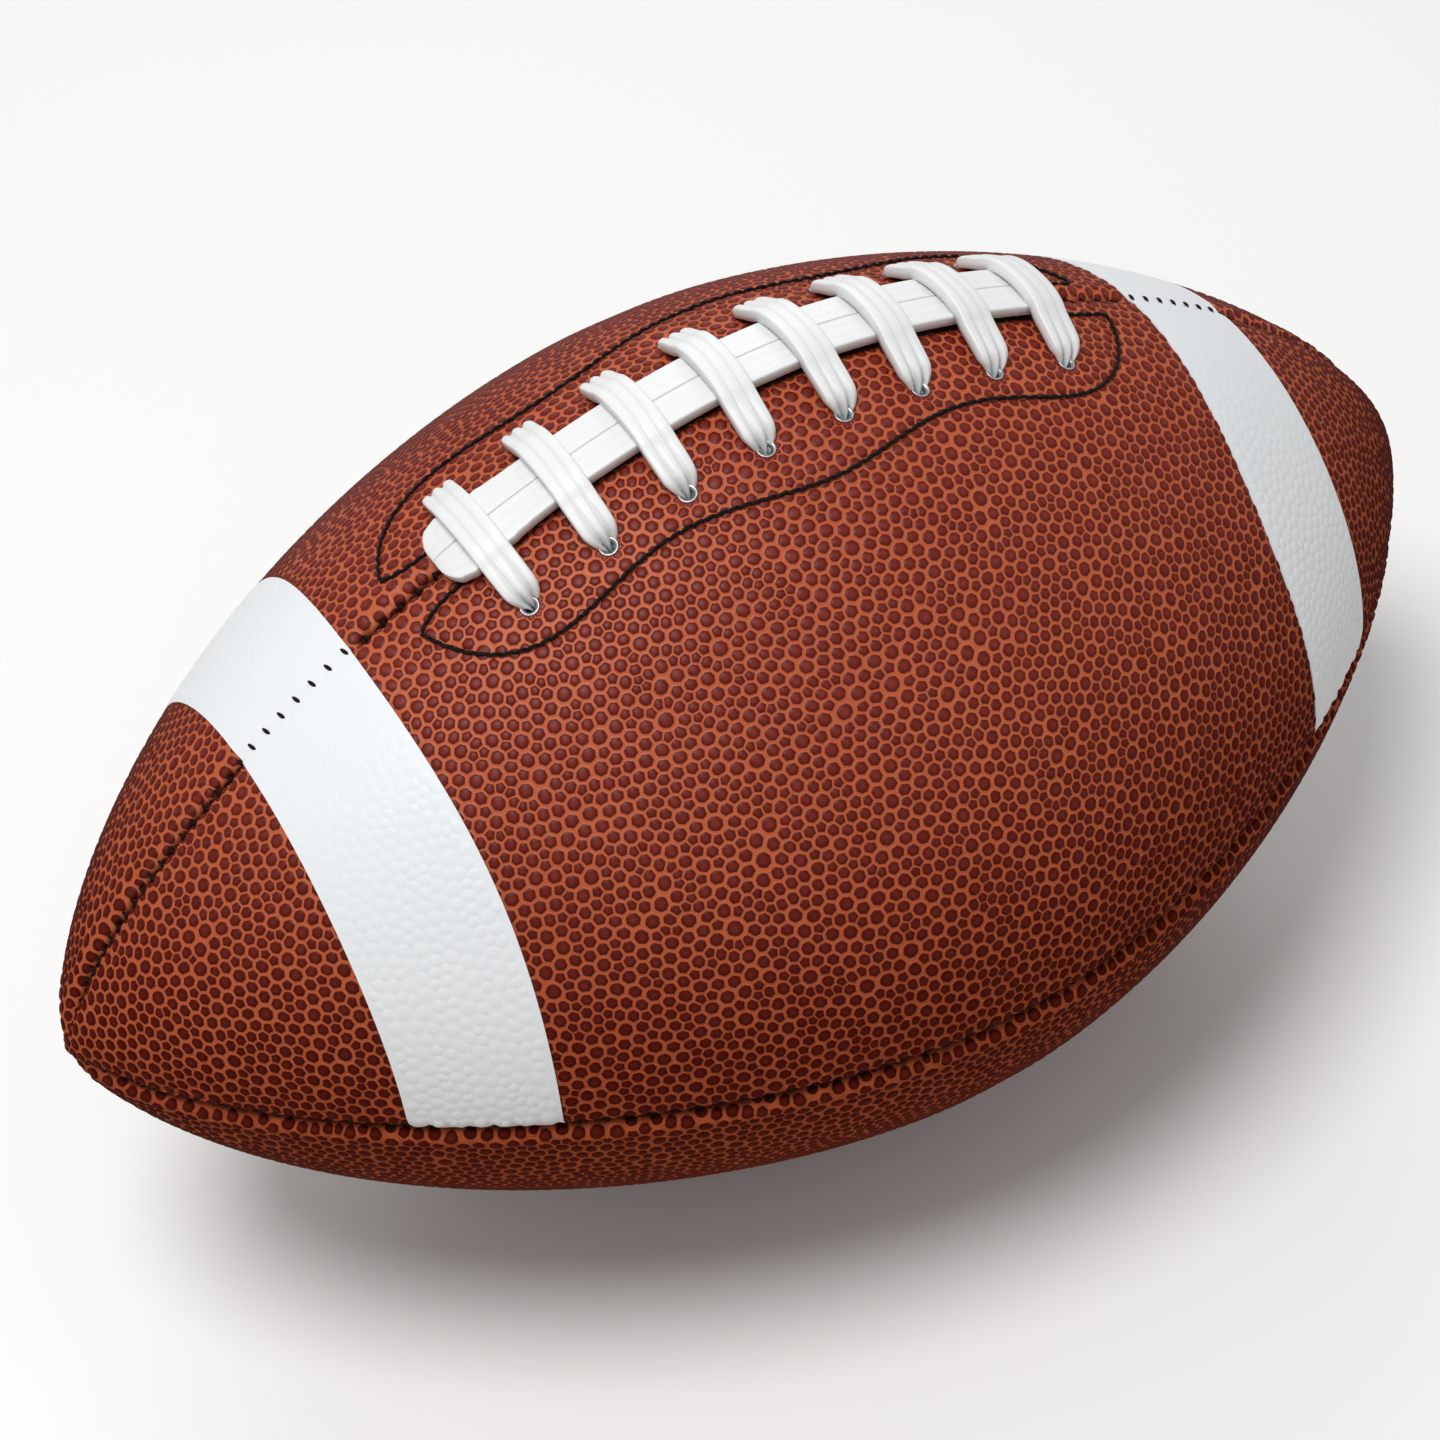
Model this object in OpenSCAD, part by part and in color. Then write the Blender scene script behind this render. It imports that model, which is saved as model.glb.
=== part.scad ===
// American football: four lined leather panels sewn round a rubber bladder, with a laced slit on top.
// The long axis runs along X, the laces are up, and the origin is the centre of the bounding box.

/* [Ball] */
// Length of the ball from tip to tip
ball_len = 283; // [270:1:300]
// Mean radius of the ball at its middle
belly_r = 80.85; // [76:0.05:88]
// Thickness of the leather
leather_t = 2.2; // [2:0.1:3]
// Thickness of the cloth lining behind each panel
lining_t = 0.8; // [0.5:0.1:1.5]
// Wall of the rubber bladder
bladder_t = 0.8; // [0.5:0.1:1.5]

/* [Seams] */
// Width of the rounded shoulder beside a seam
shoulder_w = 3.2; // [2.6:0.1:4.5]
// Depth of the groove along a seam
groove_d = 1.6; // [1.3:0.1:1.8]
// Depth of the seam allowance that is turned inwards
allowance_d = 5; // [3:0.5:8]
// Distance between seam stitches at the middle of the ball
stitch_pitch = 4.3; // [3.5:0.1:8]
// Thickness of the seam thread
seam_thread_d = 0.45; // [0.3:0.05:0.55]
// Length of a stitch across the groove
stitch_len = 1.6; // [1.2:0.1:2.2]

/* [Stripes] */
// Distance from the middle of the ball to the inner edge of a stripe
stripe_in = 78.2; // [76:0.2:86]
// Width of a stripe along the ball's axis
stripe_w = 21.8; // [14:0.2:26]
// Thickness of the white coat
stripe_t = 0.25; // [0.15:0.05:0.4]
// How far the inner edge of a stripe bows towards the middle of the ball
stripe_bow = 1.9; // [0:0.1:3]

/* [Lacing] */
// Number of laces that cross the slit
cross_count = 8; // [4:1:8]
// Distance from one cross lace to the next
cross_pitch = 15.1; // [13:0.1:15.6]
// Distance from the seam to each row of lace holes, along the leather
hole_side = 16; // [14.5:0.5:18]
// Width of the lace
lace_w = 6.2; // [5:0.1:7]
// Thickness of the lace
lace_t = 2.4; // [1.8:0.1:3]
// Diameter of the lace where it is bunched in a hole
bunch_d = 4; // [3.2:0.1:4.2]
// Inner radius of an eyelet
eyelet_r = 2.7; // [2.4:0.1:3]
// Wall of an eyelet
eyelet_t = 0.35; // [0.2:0.05:0.6]
// Height of an eyelet above the leather
eyelet_proud = 0.25; // [0.1:0.05:0.5]
// How far the bar under the cross laces runs past the last of them
bar_over = 7.65; // [5:0.05:9]
// Width of each of the two strips of the bar
bar_w = 6; // [4.5:0.1:6.5]
// Thickness of the bar
bar_t = 2.2; // [1.5:0.1:3]
// How far the slit in the leather runs past the last cross lace
slit_over = 5.15; // [3.5:0.05:6]
// Width of the slit
slit_w = 2.4; // [1.5:0.1:3.5]

/* [Reinforcement] */
// How far the sewn outline round each row of holes runs past the last hole
outline_over = 16.65; // [13:0.05:18]
// Mean distance from the seam to the outer stitch line
lobe_side = 23.5; // [22.5:0.1:25]
// How far the lobes of the outline swing in and out
lobe_swing = 2.3; // [0:0.1:3]
// Distance between two lobes
lobe_pitch = 58; // [50:1:70]
// Distance from the seam to the inner stitch line
inner_side = 5; // [4:0.1:6]
// Thickness of the thread of the outline
outline_thread_d = 0.75; // [0.4:0.05:1]
// Width of leather between the stitch line and the edge of a facing
facing_margin = 2.8; // [2:0.1:3.5]
// Thickness of a facing
facing_t = 1.2; // [0.8:0.1:2]
// How far the tongue runs past the last cross lace
tongue_over = 12.15; // [8:0.05:16]
// Half the width of the tongue
tongue_side = 18; // [16:0.5:20]
// Thickness of the tongue
tongue_t = 1.2; // [0.8:0.1:2]

/* [Valve] */
// Radius of the needle hole in the plug
needle_r = 1; // [0.8:0.05:1.2]
// Depth of the needle hole
needle_hole_d = 9; // [6:0.5:12]
// Radius of the plug
plug_r = 2; // [1.7:0.1:2.4]
// Length of the plug
plug_len = 17; // [14:0.5:20]
// Radius of the valve's neck where it passes through the panel
neck_r = 3.2; // [3:0.1:4]
// Radius of the valve's flange inside the bladder
flange_r = 8; // [6:0.5:10]
// Thickness of the flange
flange_t = 1.2; // [0.8:0.1:2]
// Length of the stem below the flange
stem_len = 14; // [12:0.5:18]
// How far the valve's mouth lies below the leather
valve_recess = 0.9; // [0.4:0.1:1.5]

/* [Hidden] */

// Gap left between two plies, or between two panels at a seam
ply_gap = 0.05;
// Play round a loose piece
play = 0.1;
// Room between the lining and the bladder, and round the tongue
air_gap = 0.3;
// Most that a flat facet lies inside the round surface that it stands for
facet_room = 0.7;
// Overrun of a cutting tool
overrun = 4;
// Length of the flat band at the middle, on which the ball can lie
flat_len = 16;

// Shape of the ball, as exponents of its profile
belly_power = 1.75;
tip_power = 0.70;
// Where a panel ends at the tip
tip_share = 0.9995;
// How far the seams stand out from a round section, at the middle and at the tips
corner_mid_share = 0.038;
corner_tip_share = -0.015;
// Height of the shoulder half way to the seam
shoulder_share = 0.35;
// The narrow end: seam details shrink where the profile is lower than this
fade_share = 0.2;
// Most of a half panel that one side of a seam may take
seam_limit_share = 0.27;
// Steepness of the ends of the sewn outline
outline_power = 6;

// Panels round the ball, and where their columns lie, as shares of half a panel
panel_count = 4;
column_shares = [2/3, 1/3, 0, -1/3, -2/3];

// Angles of half a panel, of the laced seam and of the middle of each panel
half_panel = 180 / panel_count;
front_top = half_panel;
top_seam = front_top + half_panel;
back_top = top_seam + half_panel;
back_bottom = back_top + 2 * half_panel;
front_bottom = back_bottom + 2 * half_panel;

// Steps of the surface from the middle to the stripe, across it and out to the tip
middle_steps = 4;
stripe_steps = 2;
tip_steps = 5;
// Stations that the lining and the bladder leave out at each tip
short_steps = 2;

half_len = ball_len / 2;
flat_end = flat_len / 2;
stripe_out = stripe_in + stripe_w;
tip_x = half_len * tip_share;
degree = 180 / PI;

function profile(s) = pow(1 - pow(max(abs(s), flat_end / half_len), belly_power), tip_power);

function corner(s, phi) =
    1 + (corner_mid_share + (corner_tip_share - corner_mid_share) * s * s) * cos(panel_count * phi);

function reach(s, phi, depth) = (belly_r - depth) * profile(s) * corner(s, phi);

// The point at share s of the half length, angle phi from the front towards the top, and a depth
function at(s, phi, depth) =
    let (r = reach(s, phi, depth))
    [(half_len - depth) * s, -r * cos(phi), r * sin(phi) - frame_drop];

// Angle seen from the axis that an arc of the given length takes
function arc_angle(s, arc) = arc / reach(s, top_seam, 0) * degree;
function seam_angle(s, arc) = min(half_panel * seam_limit_share, arc_angle(s, arc));
function fade(s) = min(1, profile(s) / fade_share);

// Stations: each is a share of the half length and the bow that it has between two seams
half_stations = concat(
    [for (i = [0 : middle_steps]) flat_end + (stripe_in - flat_end) * i / middle_steps],
    [for (i = [1 : stripe_steps]) stripe_in + stripe_w * i / stripe_steps],
    [for (i = [1 : tip_steps]) stripe_out + (tip_x - stripe_out) * sin(90 * i / tip_steps)]);
function station(x, side) =
    [side * x / half_len, abs(x - stripe_in) < ply_gap ? side * stripe_bow / half_len : 0];
function stations(first, last, side) =
    [for (i = [first : last]) station(half_stations[side > 0 ? i : last - i + first], side)];
last_station = len(half_stations) - 1;
all_stations = concat(stations(0, last_station, -1), stations(0, last_station, 1));
short_stations = concat(
    stations(0, last_station - short_steps, -1), stations(0, last_station - short_steps, 1));
laced_stations = concat(stations(0, middle_steps, -1), stations(0, middle_steps, 1));

function bowed(st, phi, depth) = at(st[0] - st[1] * (1 - cos(panel_count * phi)) / 2, phi, depth);
function grid(sts, columns) = [for (st = sts) [for (c = columns(st[0])) bowed(st, c[0], c[1])]];

// Layers, as depths below the outer surface
lining_d = leather_t + ply_gap;
facing_d = lining_d + lining_t + ply_gap;
eyelet_d = facing_d + facing_t + air_gap;
under_d = eyelet_d + facet_room + lace_t / 2;
tongue_d = under_d + lace_t / 2 + facet_room + air_gap;
pocket_d = tongue_d + tongue_t + facet_room;
bladder_d = lining_d + lining_t + air_gap;

// Heights above the leather
bar_h = outline_thread_d + 3 * play;
over_h = bar_h + bar_t + play + lace_t / 2;
lip_h = eyelet_proud + 2 * play + lace_t / 2;

// The row of cross laces, and the lengths that follow it
first_cross = (cross_count - 1) * cross_pitch / 2;
bar_len = 2 * (first_cross + bar_over);
slit_len = 2 * (first_cross + slit_over);
outline_len = 2 * (first_cross + outline_over);
tongue_len = 2 * (first_cross + tongue_over);

// The origin is half way between the top of the laces and the lowest leather
crest_z = reach(cross_pitch / 2 / half_len, top_seam, -over_h) + lace_t / 2;
keel_angle = arc_angle(flat_end / half_len, shoulder_w);
keel_z = reach(flat_end / half_len, top_seam + keel_angle, 0) * cos(keel_angle);
frame_drop = (crest_z - keel_z) / 2;

// Seam allowance: none where the top seam is left open for the lacing
function allowance(s, seam) =
    allowance_d * fade(s) * (seam == top_seam && abs(s) * half_len < stripe_in + ply_gap ? 0 : 1);

// Columns of one layer: [angle, depth] from the lower to the upper seam of a panel
function flat_columns(mid, depth) = [for (c = column_shares) [mid - half_panel * c, depth]];
function mirrored(list) = [for (i = [len(list) - 1 : -1 : 0]) list[i]];

function outer_side(s, seam, dir, lift) =
    let (wide = seam_angle(s, shoulder_w), deep = groove_d * fade(s))
    [[seam + dir * seam_angle(s, ply_gap), deep - lift],
     [seam + dir * wide / 2, deep * shoulder_share - lift],
     [seam + dir * wide, -lift]];
function outer_columns(mid, lift) = function(s) concat(
    outer_side(s, mid - half_panel, 1, lift),
    flat_columns(mid, -lift),
    mirrored(outer_side(s, mid + half_panel, -1, lift)));

function inner_side(s, seam, dir) =
    let (foot = seam_angle(s, 2 * leather_t), deep = leather_t + allowance(s, seam))
    [[seam + dir * seam_angle(s, ply_gap), deep],
     [seam + dir * foot / 2, deep],
     [seam + dir * foot, leather_t]];
function inner_columns(mid) = function(s) concat(
    inner_side(s, mid - half_panel, 1),
    flat_columns(mid, leather_t),
    mirrored(inner_side(s, mid + half_panel, -1)));

function lining_columns(mid, depth) = function(s) concat(
    [[mid - half_panel + seam_angle(s, 2 * leather_t), depth]],
    flat_columns(mid, depth),
    [[mid + half_panel - seam_angle(s, 2 * leather_t), depth]]);

// Columns right round the bladder, which gives way to the seam allowances and to the lacing
function laced(s) = abs(s) * half_len < stripe_in + ply_gap;
function bladder_depth(s, seam, away) =
    max(bladder_d, laced(s) && seam == top_seam && away < half_panel / 2 ? pocket_d : 0);
function bladder_side(s, seam, dir, wall) =
    let (foot = seam_angle(s, 2 * leather_t),
         deep = max(bladder_depth(s, seam, 0), leather_t + allowance(s, seam) + air_gap))
    [[seam + dir * foot / 2, deep + wall],
     [seam + dir * foot, bladder_depth(s, seam, foot) + wall]];
function bladder_columns(wall) = function(s) [
    for (mid = [front_top, back_top, back_bottom, front_bottom])
    let (low = mid - half_panel, high = mid + half_panel)
    each concat(
        bladder_side(s, low, 1, wall),
        [for (c = column_shares)
            let (away = half_panel * (1 - abs(c)))
            [mid - half_panel * c, bladder_depth(s, c > 0 ? low : high, away) + wall]],
        mirrored(bladder_side(s, high, -1, wall)))];

function unit(v) = v / norm(v);
function flat_list(lists) = [for (l = lists) each l];
function quad(a, b, c, d) = [[a, b, c], [a, c, d]];

// A ply between two grids of points that have the same stations and columns
module ply(outer, inner) {
    n = len(outer);
    m = len(outer[0]);
    o = function(i, j) i * m + j;
    u = function(i, j) (n + i) * m + j;
    faces = flat_list(concat(
        [for (i = [0 : n - 2], j = [0 : m - 2]) quad(o(i, j), o(i, j + 1), o(i + 1, j + 1), o(i + 1, j))],
        [for (i = [0 : n - 2], j = [0 : m - 2])
            [[u(i, j), u(i + 1, j + 1), u(i, j + 1)], [u(i, j), u(i + 1, j), u(i + 1, j + 1)]]],
        [for (i = [0 : n - 2]) quad(o(i, 0), o(i + 1, 0), u(i + 1, 0), u(i, 0))],
        [for (i = [0 : n - 2]) quad(o(i, m - 1), u(i, m - 1), u(i + 1, m - 1), o(i + 1, m - 1))],
        [for (j = [0 : m - 2]) quad(o(0, j), u(0, j), u(0, j + 1), o(0, j + 1))],
        [for (j = [0 : m - 2]) quad(o(n - 1, j), o(n - 1, j + 1), u(n - 1, j + 1), u(n - 1, j))]));
    polyhedron(points = concat(flat_list(outer), flat_list(inner)), faces = faces);
}

// A closed skin round the long axis, drawn to a point at both ends
module bubble(rings, low_tip, high_tip) {
    n = len(rings);
    m = len(rings[0]);
    p = function(i, j) i * m + j % m;
    faces = concat(
        flat_list([for (i = [0 : n - 2], j = [0 : m - 1])
            quad(p(i, j), p(i, j + 1), p(i + 1, j + 1), p(i + 1, j))]),
        [for (j = [0 : m - 1]) [n * m, p(0, j + 1), p(0, j)]],
        [for (j = [0 : m - 1]) [n * m + 1, p(n - 1, j), p(n - 1, j + 1)]]);
    polyhedron(points = concat(flat_list(rings), [low_tip, high_tip]), faces = faces);
}

// A tube through rings of points; a closed one joins its last ring to its first
module tube(rings, closed = false) {
    n = len(rings);
    m = len(rings[0]);
    p = function(i, j) (i % n) * m + j % m;
    faces = concat(
        flat_list([for (i = [0 : closed ? n - 1 : n - 2], j = [0 : m - 1])
            quad(p(i, j), p(i + 1, j), p(i + 1, j + 1), p(i, j + 1))]),
        closed ? [] : [[for (j = [0 : m - 1]) j], [for (j = [m - 1 : -1 : 0]) (n - 1) * m + j]]);
    polyhedron(points = flat_list(rings), faces = faces);
}

// Section of a flat lace with soft edges, and of a thread, as shares of half the width and height
lace_shares = [[1, -0.45], [1, 0.45], [0.6, 1], [-0.6, 1], [-1, 0.45], [-1, -0.45], [-0.6, -1], [0.6, -1]];
function ring(centre, across, up, w, t, shares) =
    [for (q = shares) centre + across * w / 2 * q[0] + up * t / 2 * q[1]];
function round_shares(sides) = [for (a = [0 : sides - 1]) [cos(a * 360 / sides), sin(a * 360 / sides)]];

// Puts its children on the leather, with Z along the way out
module on_leather(s, phi) {
    out = unit(at(s, phi, 0) - at(s, phi, leather_t));
    translate(at(s, phi, 0)) rotate([0, acos(out[2]), atan2(out[1], out[0])]) children();
}

function cross_s(k) = (k * cross_pitch - first_cross) / half_len;
function side_phi(s, side) = top_seam - arc_angle(s, side);

module lace_holes(side) {
    for (k = [0 : cross_count - 1])
        on_leather(cross_s(k), side_phi(cross_s(k), side * hole_side))
            translate([0, 0, -pocket_d])
                cylinder(h = pocket_d + overrun, r = eyelet_r + eyelet_t + ply_gap, $fn = 24);
}

module slit() {
    translate([-slit_len / 2, -slit_w / 2, 0]) cube([slit_len, slit_w, belly_r + overrun]);
}

module valve_hole(r) {
    on_leather(0, back_top) translate([0, 0, -flange_r]) cylinder(h = flange_r + overrun, r = r, $fn = 32);
}

module panel(mid) {
    ply(grid(all_stations, outer_columns(mid, 0)), grid(all_stations, inner_columns(mid)));
}

module lining(mid) {
    ply(grid(short_stations, lining_columns(mid, lining_d)),
        grid(short_stations, lining_columns(mid, lining_d + lining_t)));
}

module stripe(mid, side) {
    coat = stations(middle_steps, middle_steps + stripe_steps, side);
    ply(grid(coat, outer_columns(mid, ply_gap + stripe_t)), grid(coat, outer_columns(mid, ply_gap)));
}

// The sewn outline: distance from the seam at a distance x from the middle
function scallop(x, end) =
    (lobe_side + lobe_swing * cos(360 * x / lobe_pitch)) * sqrt(max(0, 1 - pow(abs(x) / end, outline_power)));

// Points round the outline, grown by a margin, as [x, distance from the seam]
outline_points = 26;
function outline(grow) =
    let (end = outline_len / 2 + grow, low = inner_side - grow)
    concat(
        [for (i = [0 : outline_points])
            let (x = end * sin(90 * (2 * i / outline_points - 1)))
            [x, max(low, scallop(x, end) + grow * sqrt(max(0, 1 - pow(abs(x) / end, outline_power))))]],
        [for (i = [outline_points - 1 : -1 : 1]) [end * (2 * i / outline_points - 1), low]]);

function facing_columns(side, depth) = function(s) [
    for (d = [side_phi(s, side * slit_w / 2), top_seam - side * seam_angle(s, 2 * leather_t),
        top_seam - side * half_panel / 3, top_seam - side * 2 * half_panel / 3])
    [d, depth]];

module facing(side) {
    upper = grid(laced_stations, facing_columns(side, facing_d));
    lower = grid(laced_stations, facing_columns(side, facing_d + facing_t));
    difference() {
        intersection() {
            if (side > 0) ply([for (row = upper) mirrored(row)], [for (row = lower) mirrored(row)]);
            else ply(upper, lower);
            linear_extrude(height = belly_r)
                polygon([for (p = outline(facing_margin))
                    let (s = p[0] / half_len, q = at(s, side_phi(s, side * p[1]), facing_d))
                    [q[0], q[1]]]);
        }
        lace_holes(side);
    }
}

// One thread that crosses a seam's groove, steps along it and crosses back
thread_end_share = 0.955;
function zigzag(seam, from_s, to_s) =
    let (
        a = asin(from_s),
        b = asin(to_s),
        count = max(2, round((b - a) / degree * half_len / stitch_pitch)),
        fall = groove_d * (1 - shoulder_share) / (shoulder_w / 2),
        flank = groove_d - fall * stitch_len / 2,
        depth = flank - (seam_thread_d / 2 + stripe_t + play) / cos(atan(fall)))
    [for (i = [0 : count])
        let (s = sin(a + (b - a) * i / count), dir = i % 2 == 0 ? 1 : -1)
        each [for (end = [dir, -dir])
            at(s, seam + end * seam_angle(s, stitch_len / 2), depth * fade(s))]];

thread_sides = 4;
module thread(path) {
    n = len(path);
    step = function(i) unit(path[i + 1] - path[i]);
    tube([for (i = [0 : n - 1])
        let (
            after = step(min(i, n - 2)),
            ahead = unit(after + step(max(i - 1, 0))),
            out = unit([0, path[i][1], path[i][2] + frame_drop]),
            across = unit(cross(out, ahead)))
        ring(path[i], across, cross(ahead, across), seam_thread_d / (ahead * after), seam_thread_d,
            round_shares(thread_sides))]);
}

outline_sides = 4;
module outline_thread(side) {
    line = outline(0);
    n = len(line);
    path = [for (p = line)
        let (s = p[0] / half_len)
        at(s, side_phi(s, side * p[1]), -(outline_thread_d / 2 + play))];
    tube([for (i = [0 : n - 1])
        let (
            ahead = unit(path[(i + 1) % n] - path[(i + n - 1) % n]),
            out = unit([0, path[i][1], path[i][2] + frame_drop]),
            across = unit(cross(out, ahead)))
        ring(path[i], across, cross(ahead, across), outline_thread_d, outline_thread_d,
            round_shares(outline_sides))], closed = true);
}

// One side of a cross lace, from under the leather up through its hole and over to the middle,
// as [distance from the seam, depth, width, thickness]
bend_r = eyelet_r;
bend_share = sin(45);
lip_w = (lace_w + 4 * bunch_d) / 5;
lip_t = (2 * lace_t + bunch_d) / 3;
lace_rise = [
    [hole_side - bend_r, under_d, lip_w, lace_t],
    [hole_side - bend_r * (1 - bend_share), under_d - bend_r * (1 - bend_share), bunch_d, lip_t],
    [hole_side, under_d - bend_r, bunch_d, bunch_d],
    [hole_side, bend_r - lip_h, bunch_d, bunch_d],
    [hole_side - bend_r * (1 - bend_share), bend_r * (1 - bend_share) - lip_h, bunch_d, lip_t],
    [hole_side - bend_r, -lip_h, lip_w, lace_t],
    [(hole_side - bend_r + bar_w) / 2, -(lip_h + over_h) / 2, lace_w, lace_t],
    [bar_w, -over_h, lace_w, lace_t],
    [0, -over_h, lace_w, lace_t]];

// Direction along the ball at a row of the lace
lengthwise_share = 0.01;
function lengthwise(row) =
    let (phi = side_phi(row[0], row[1]))
    unit(at(row[0] + lengthwise_share, phi, row[2]) - at(row[0] - lengthwise_share, phi, row[2]));

module cross_laces() {
    rise = len(lace_rise);
    rows = [for (k = [0 : cross_count - 1])
        each concat(
            [for (q = lace_rise) concat([cross_s(k), q[0]], [q[1], q[2], q[3]])],
            [for (i = [rise - 2 : -1 : 0])
                let (q = lace_rise[i])
                [cross_s(k), -q[0], q[1], q[2], q[3]]],
            k < cross_count - 1 ? [[(cross_s(k) + cross_s(k + 1)) / 2, 0, under_d, lace_w, lace_t]] : [])];
    path = [for (r = rows) at(r[0], side_phi(r[0], r[1]), r[2])];
    n = len(path);
    tube([for (i = [0 : n - 1])
        let (
            ahead = unit(path[min(i + 1, n - 1)] - path[max(i - 1, 0)]),
            long = lengthwise(rows[i]),
            across = unit(long - ahead * (ahead * long)))
        ring(path[i], across, cross(ahead, across), rows[i][3], rows[i][4], lace_shares)]);
}

// The bar is two strips side by side, rounded down at their ends and outer edges
bar_steps = 12;
bar_end_share = 0.72;
module bar_strip(side) {
    half = bar_len / 2;
    xs = concat([-half], [for (i = [0 : bar_steps]) (half - lace_t) * (2 * i / bar_steps - 1)], [half]);
    tube([for (x = xs)
        let (
            s = x / half_len,
            share = abs(x) == half ? bar_end_share : 1,
            wide = bar_w * share,
            thick = bar_t * share,
            outer = [[play, bar_h], [wide - thick / 3, bar_h], [wide, bar_h + thick / 3],
                [wide, bar_h + thick * 2 / 3], [wide - thick / 3, bar_h + thick], [thick / 3, bar_h + thick],
                [play, bar_h + thick * 3 / 4]])
        [for (q = side > 0 ? mirrored(outer) : outer) at(s, side_phi(s, side * q[0]), -q[1])]]);
}

module panel_front_top() {
    color("saddlebrown") difference() {
        panel(front_top);
        lace_holes(1);
        slit();
    }
}

module panel_back_top() {
    color("saddlebrown") difference() {
        panel(back_top);
        lace_holes(-1);
        slit();
        valve_hole(neck_r + play);
    }
}

module panel_front_bottom() {
    color("sienna") panel(front_bottom);
}

module panel_back_bottom() {
    color("sienna") panel(back_bottom);
}

module lining_front_top() {
    color("wheat") difference() {
        lining(front_top);
        lace_holes(1);
    }
}

module lining_back_top() {
    color("wheat") difference() {
        lining(back_top);
        lace_holes(-1);
        valve_hole(neck_r + play);
    }
}

module lining_front_bottom() {
    color("wheat") lining(front_bottom);
}

module lining_back_bottom() {
    color("wheat") lining(back_bottom);
}

module stripe_front_left() {
    color("white") stripe(front_top, -1);
}

module stripe_front_right() {
    color("white") stripe(front_top, 1);
}

module stripe_back_left() {
    color("white") stripe(back_top, -1);
}

module stripe_back_right() {
    color("white") stripe(back_top, 1);
}

module facing_front() {
    color("peru") facing(1);
}

module facing_back() {
    color("peru") facing(-1);
}

tongue_steps = 8;
module tongue() {
    half = tongue_len / 2 / half_len;
    layer = function(depth) [for (i = [0 : tongue_steps])
        let (s = half * (2 * i / tongue_steps - 1))
        [for (side = [tongue_side, tongue_side / 2, 0, -tongue_side / 2, -tongue_side])
            at(s, side_phi(s, side), depth)]];
    color("tan") ply(layer(tongue_d), layer(tongue_d + tongue_t));
}

module eyelets() {
    color("silver") for (side = [-1, 1], k = [0 : cross_count - 1])
        on_leather(cross_s(k), side_phi(cross_s(k), side * hole_side))
            difference() {
                translate([0, 0, -eyelet_d])
                    cylinder(h = eyelet_d + eyelet_proud, r = eyelet_r + eyelet_t, $fn = 24);
                translate([0, 0, -eyelet_d - overrun])
                    cylinder(h = eyelet_d + eyelet_proud + 2 * overrun, r = eyelet_r, $fn = 24);
            }
}

module lace_crosses() {
    color("white") cross_laces();
}

module lace_bar() {
    color("whitesmoke") {
        bar_strip(1);
        bar_strip(-1);
    }
}

module thread_seam_top() {
    start = (bar_len / 2 + lace_t) / half_len;
    color("dimgray") {
        thread(zigzag(top_seam, -thread_end_share, -start));
        thread(zigzag(top_seam, start, thread_end_share));
    }
}

module thread_seam_front() {
    color("dimgray") thread(zigzag(top_seam - 2 * half_panel, -thread_end_share, thread_end_share));
}

module thread_seam_bottom() {
    color("dimgray") thread(zigzag(top_seam + 4 * half_panel, -thread_end_share, thread_end_share));
}

module thread_seam_back() {
    color("dimgray") thread(zigzag(top_seam + 2 * half_panel, -thread_end_share, thread_end_share));
}

module thread_facing_front() {
    color("black") outline_thread(1);
}

module thread_facing_back() {
    color("black") outline_thread(-1);
}

// Tips of the bladder, just inside the seam allowances
function bladder_tip(side, wall) = [
    side * (half_len - bladder_d - wall) * (1 + half_stations[last_station - short_steps] / half_len) / 2,
    0, -frame_drop];

module bladder_skin(wall) {
    bubble(grid(short_stations, bladder_columns(wall)), bladder_tip(-1, wall), bladder_tip(1, wall));
}

module bladder() {
    color("black") difference() {
        bladder_skin(0);
        bladder_skin(bladder_t);
        valve_hole(neck_r + play);
    }
}

// Depth of the flange's upper face, just inside the bladder's wall
flange_d = bladder_d + bladder_t + facet_room + air_gap;

module valve_housing() {
    color("dimgray") on_leather(0, back_top) rotate_extrude($fn = 48) polygon([
        [plug_r + ply_gap, -valve_recess],
        [neck_r, -valve_recess],
        [neck_r, -flange_d],
        [flange_r, -flange_d],
        [flange_r, -flange_d - flange_t],
        [neck_r, -flange_d - flange_t],
        [neck_r, -flange_d - flange_t - stem_len],
        [plug_r + ply_gap, -flange_d - flange_t - stem_len]]);
}

module valve_plug() {
    color("gray") on_leather(0, back_top) translate([0, 0, -valve_recess - plug_len]) difference() {
        cylinder(h = plug_len, r = plug_r, $fn = 32);
        translate([0, 0, plug_len - needle_hole_d])
            cylinder(h = needle_hole_d + overrun, r = needle_r, $fn = 32);
    }
}

panel_front_top();
panel_back_top();
panel_front_bottom();
panel_back_bottom();
lining_front_top();
lining_back_top();
lining_front_bottom();
lining_back_bottom();
stripe_front_left();
stripe_front_right();
stripe_back_left();
stripe_back_right();
facing_front();
facing_back();
tongue();
eyelets();
lace_crosses();
lace_bar();
thread_seam_top();
thread_seam_front();
thread_seam_bottom();
thread_seam_back();
thread_facing_front();
thread_facing_back();
bladder();
valve_housing();
valve_plug();
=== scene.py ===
# %% [markdown]
# # An american football
# The ball is four pebbled leather panels sewn round a rubber bladder. Two of them carry white
# stripes, and the seam on top is left open for the bladder and closed by a lace. The rigid model
# holds the pieces at their real size, and this script dresses them: it presses pebbles into the
# leather, puckers the seams, and makes the laces, stitches and eyelets.

# %% Load the frame
import math

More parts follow.
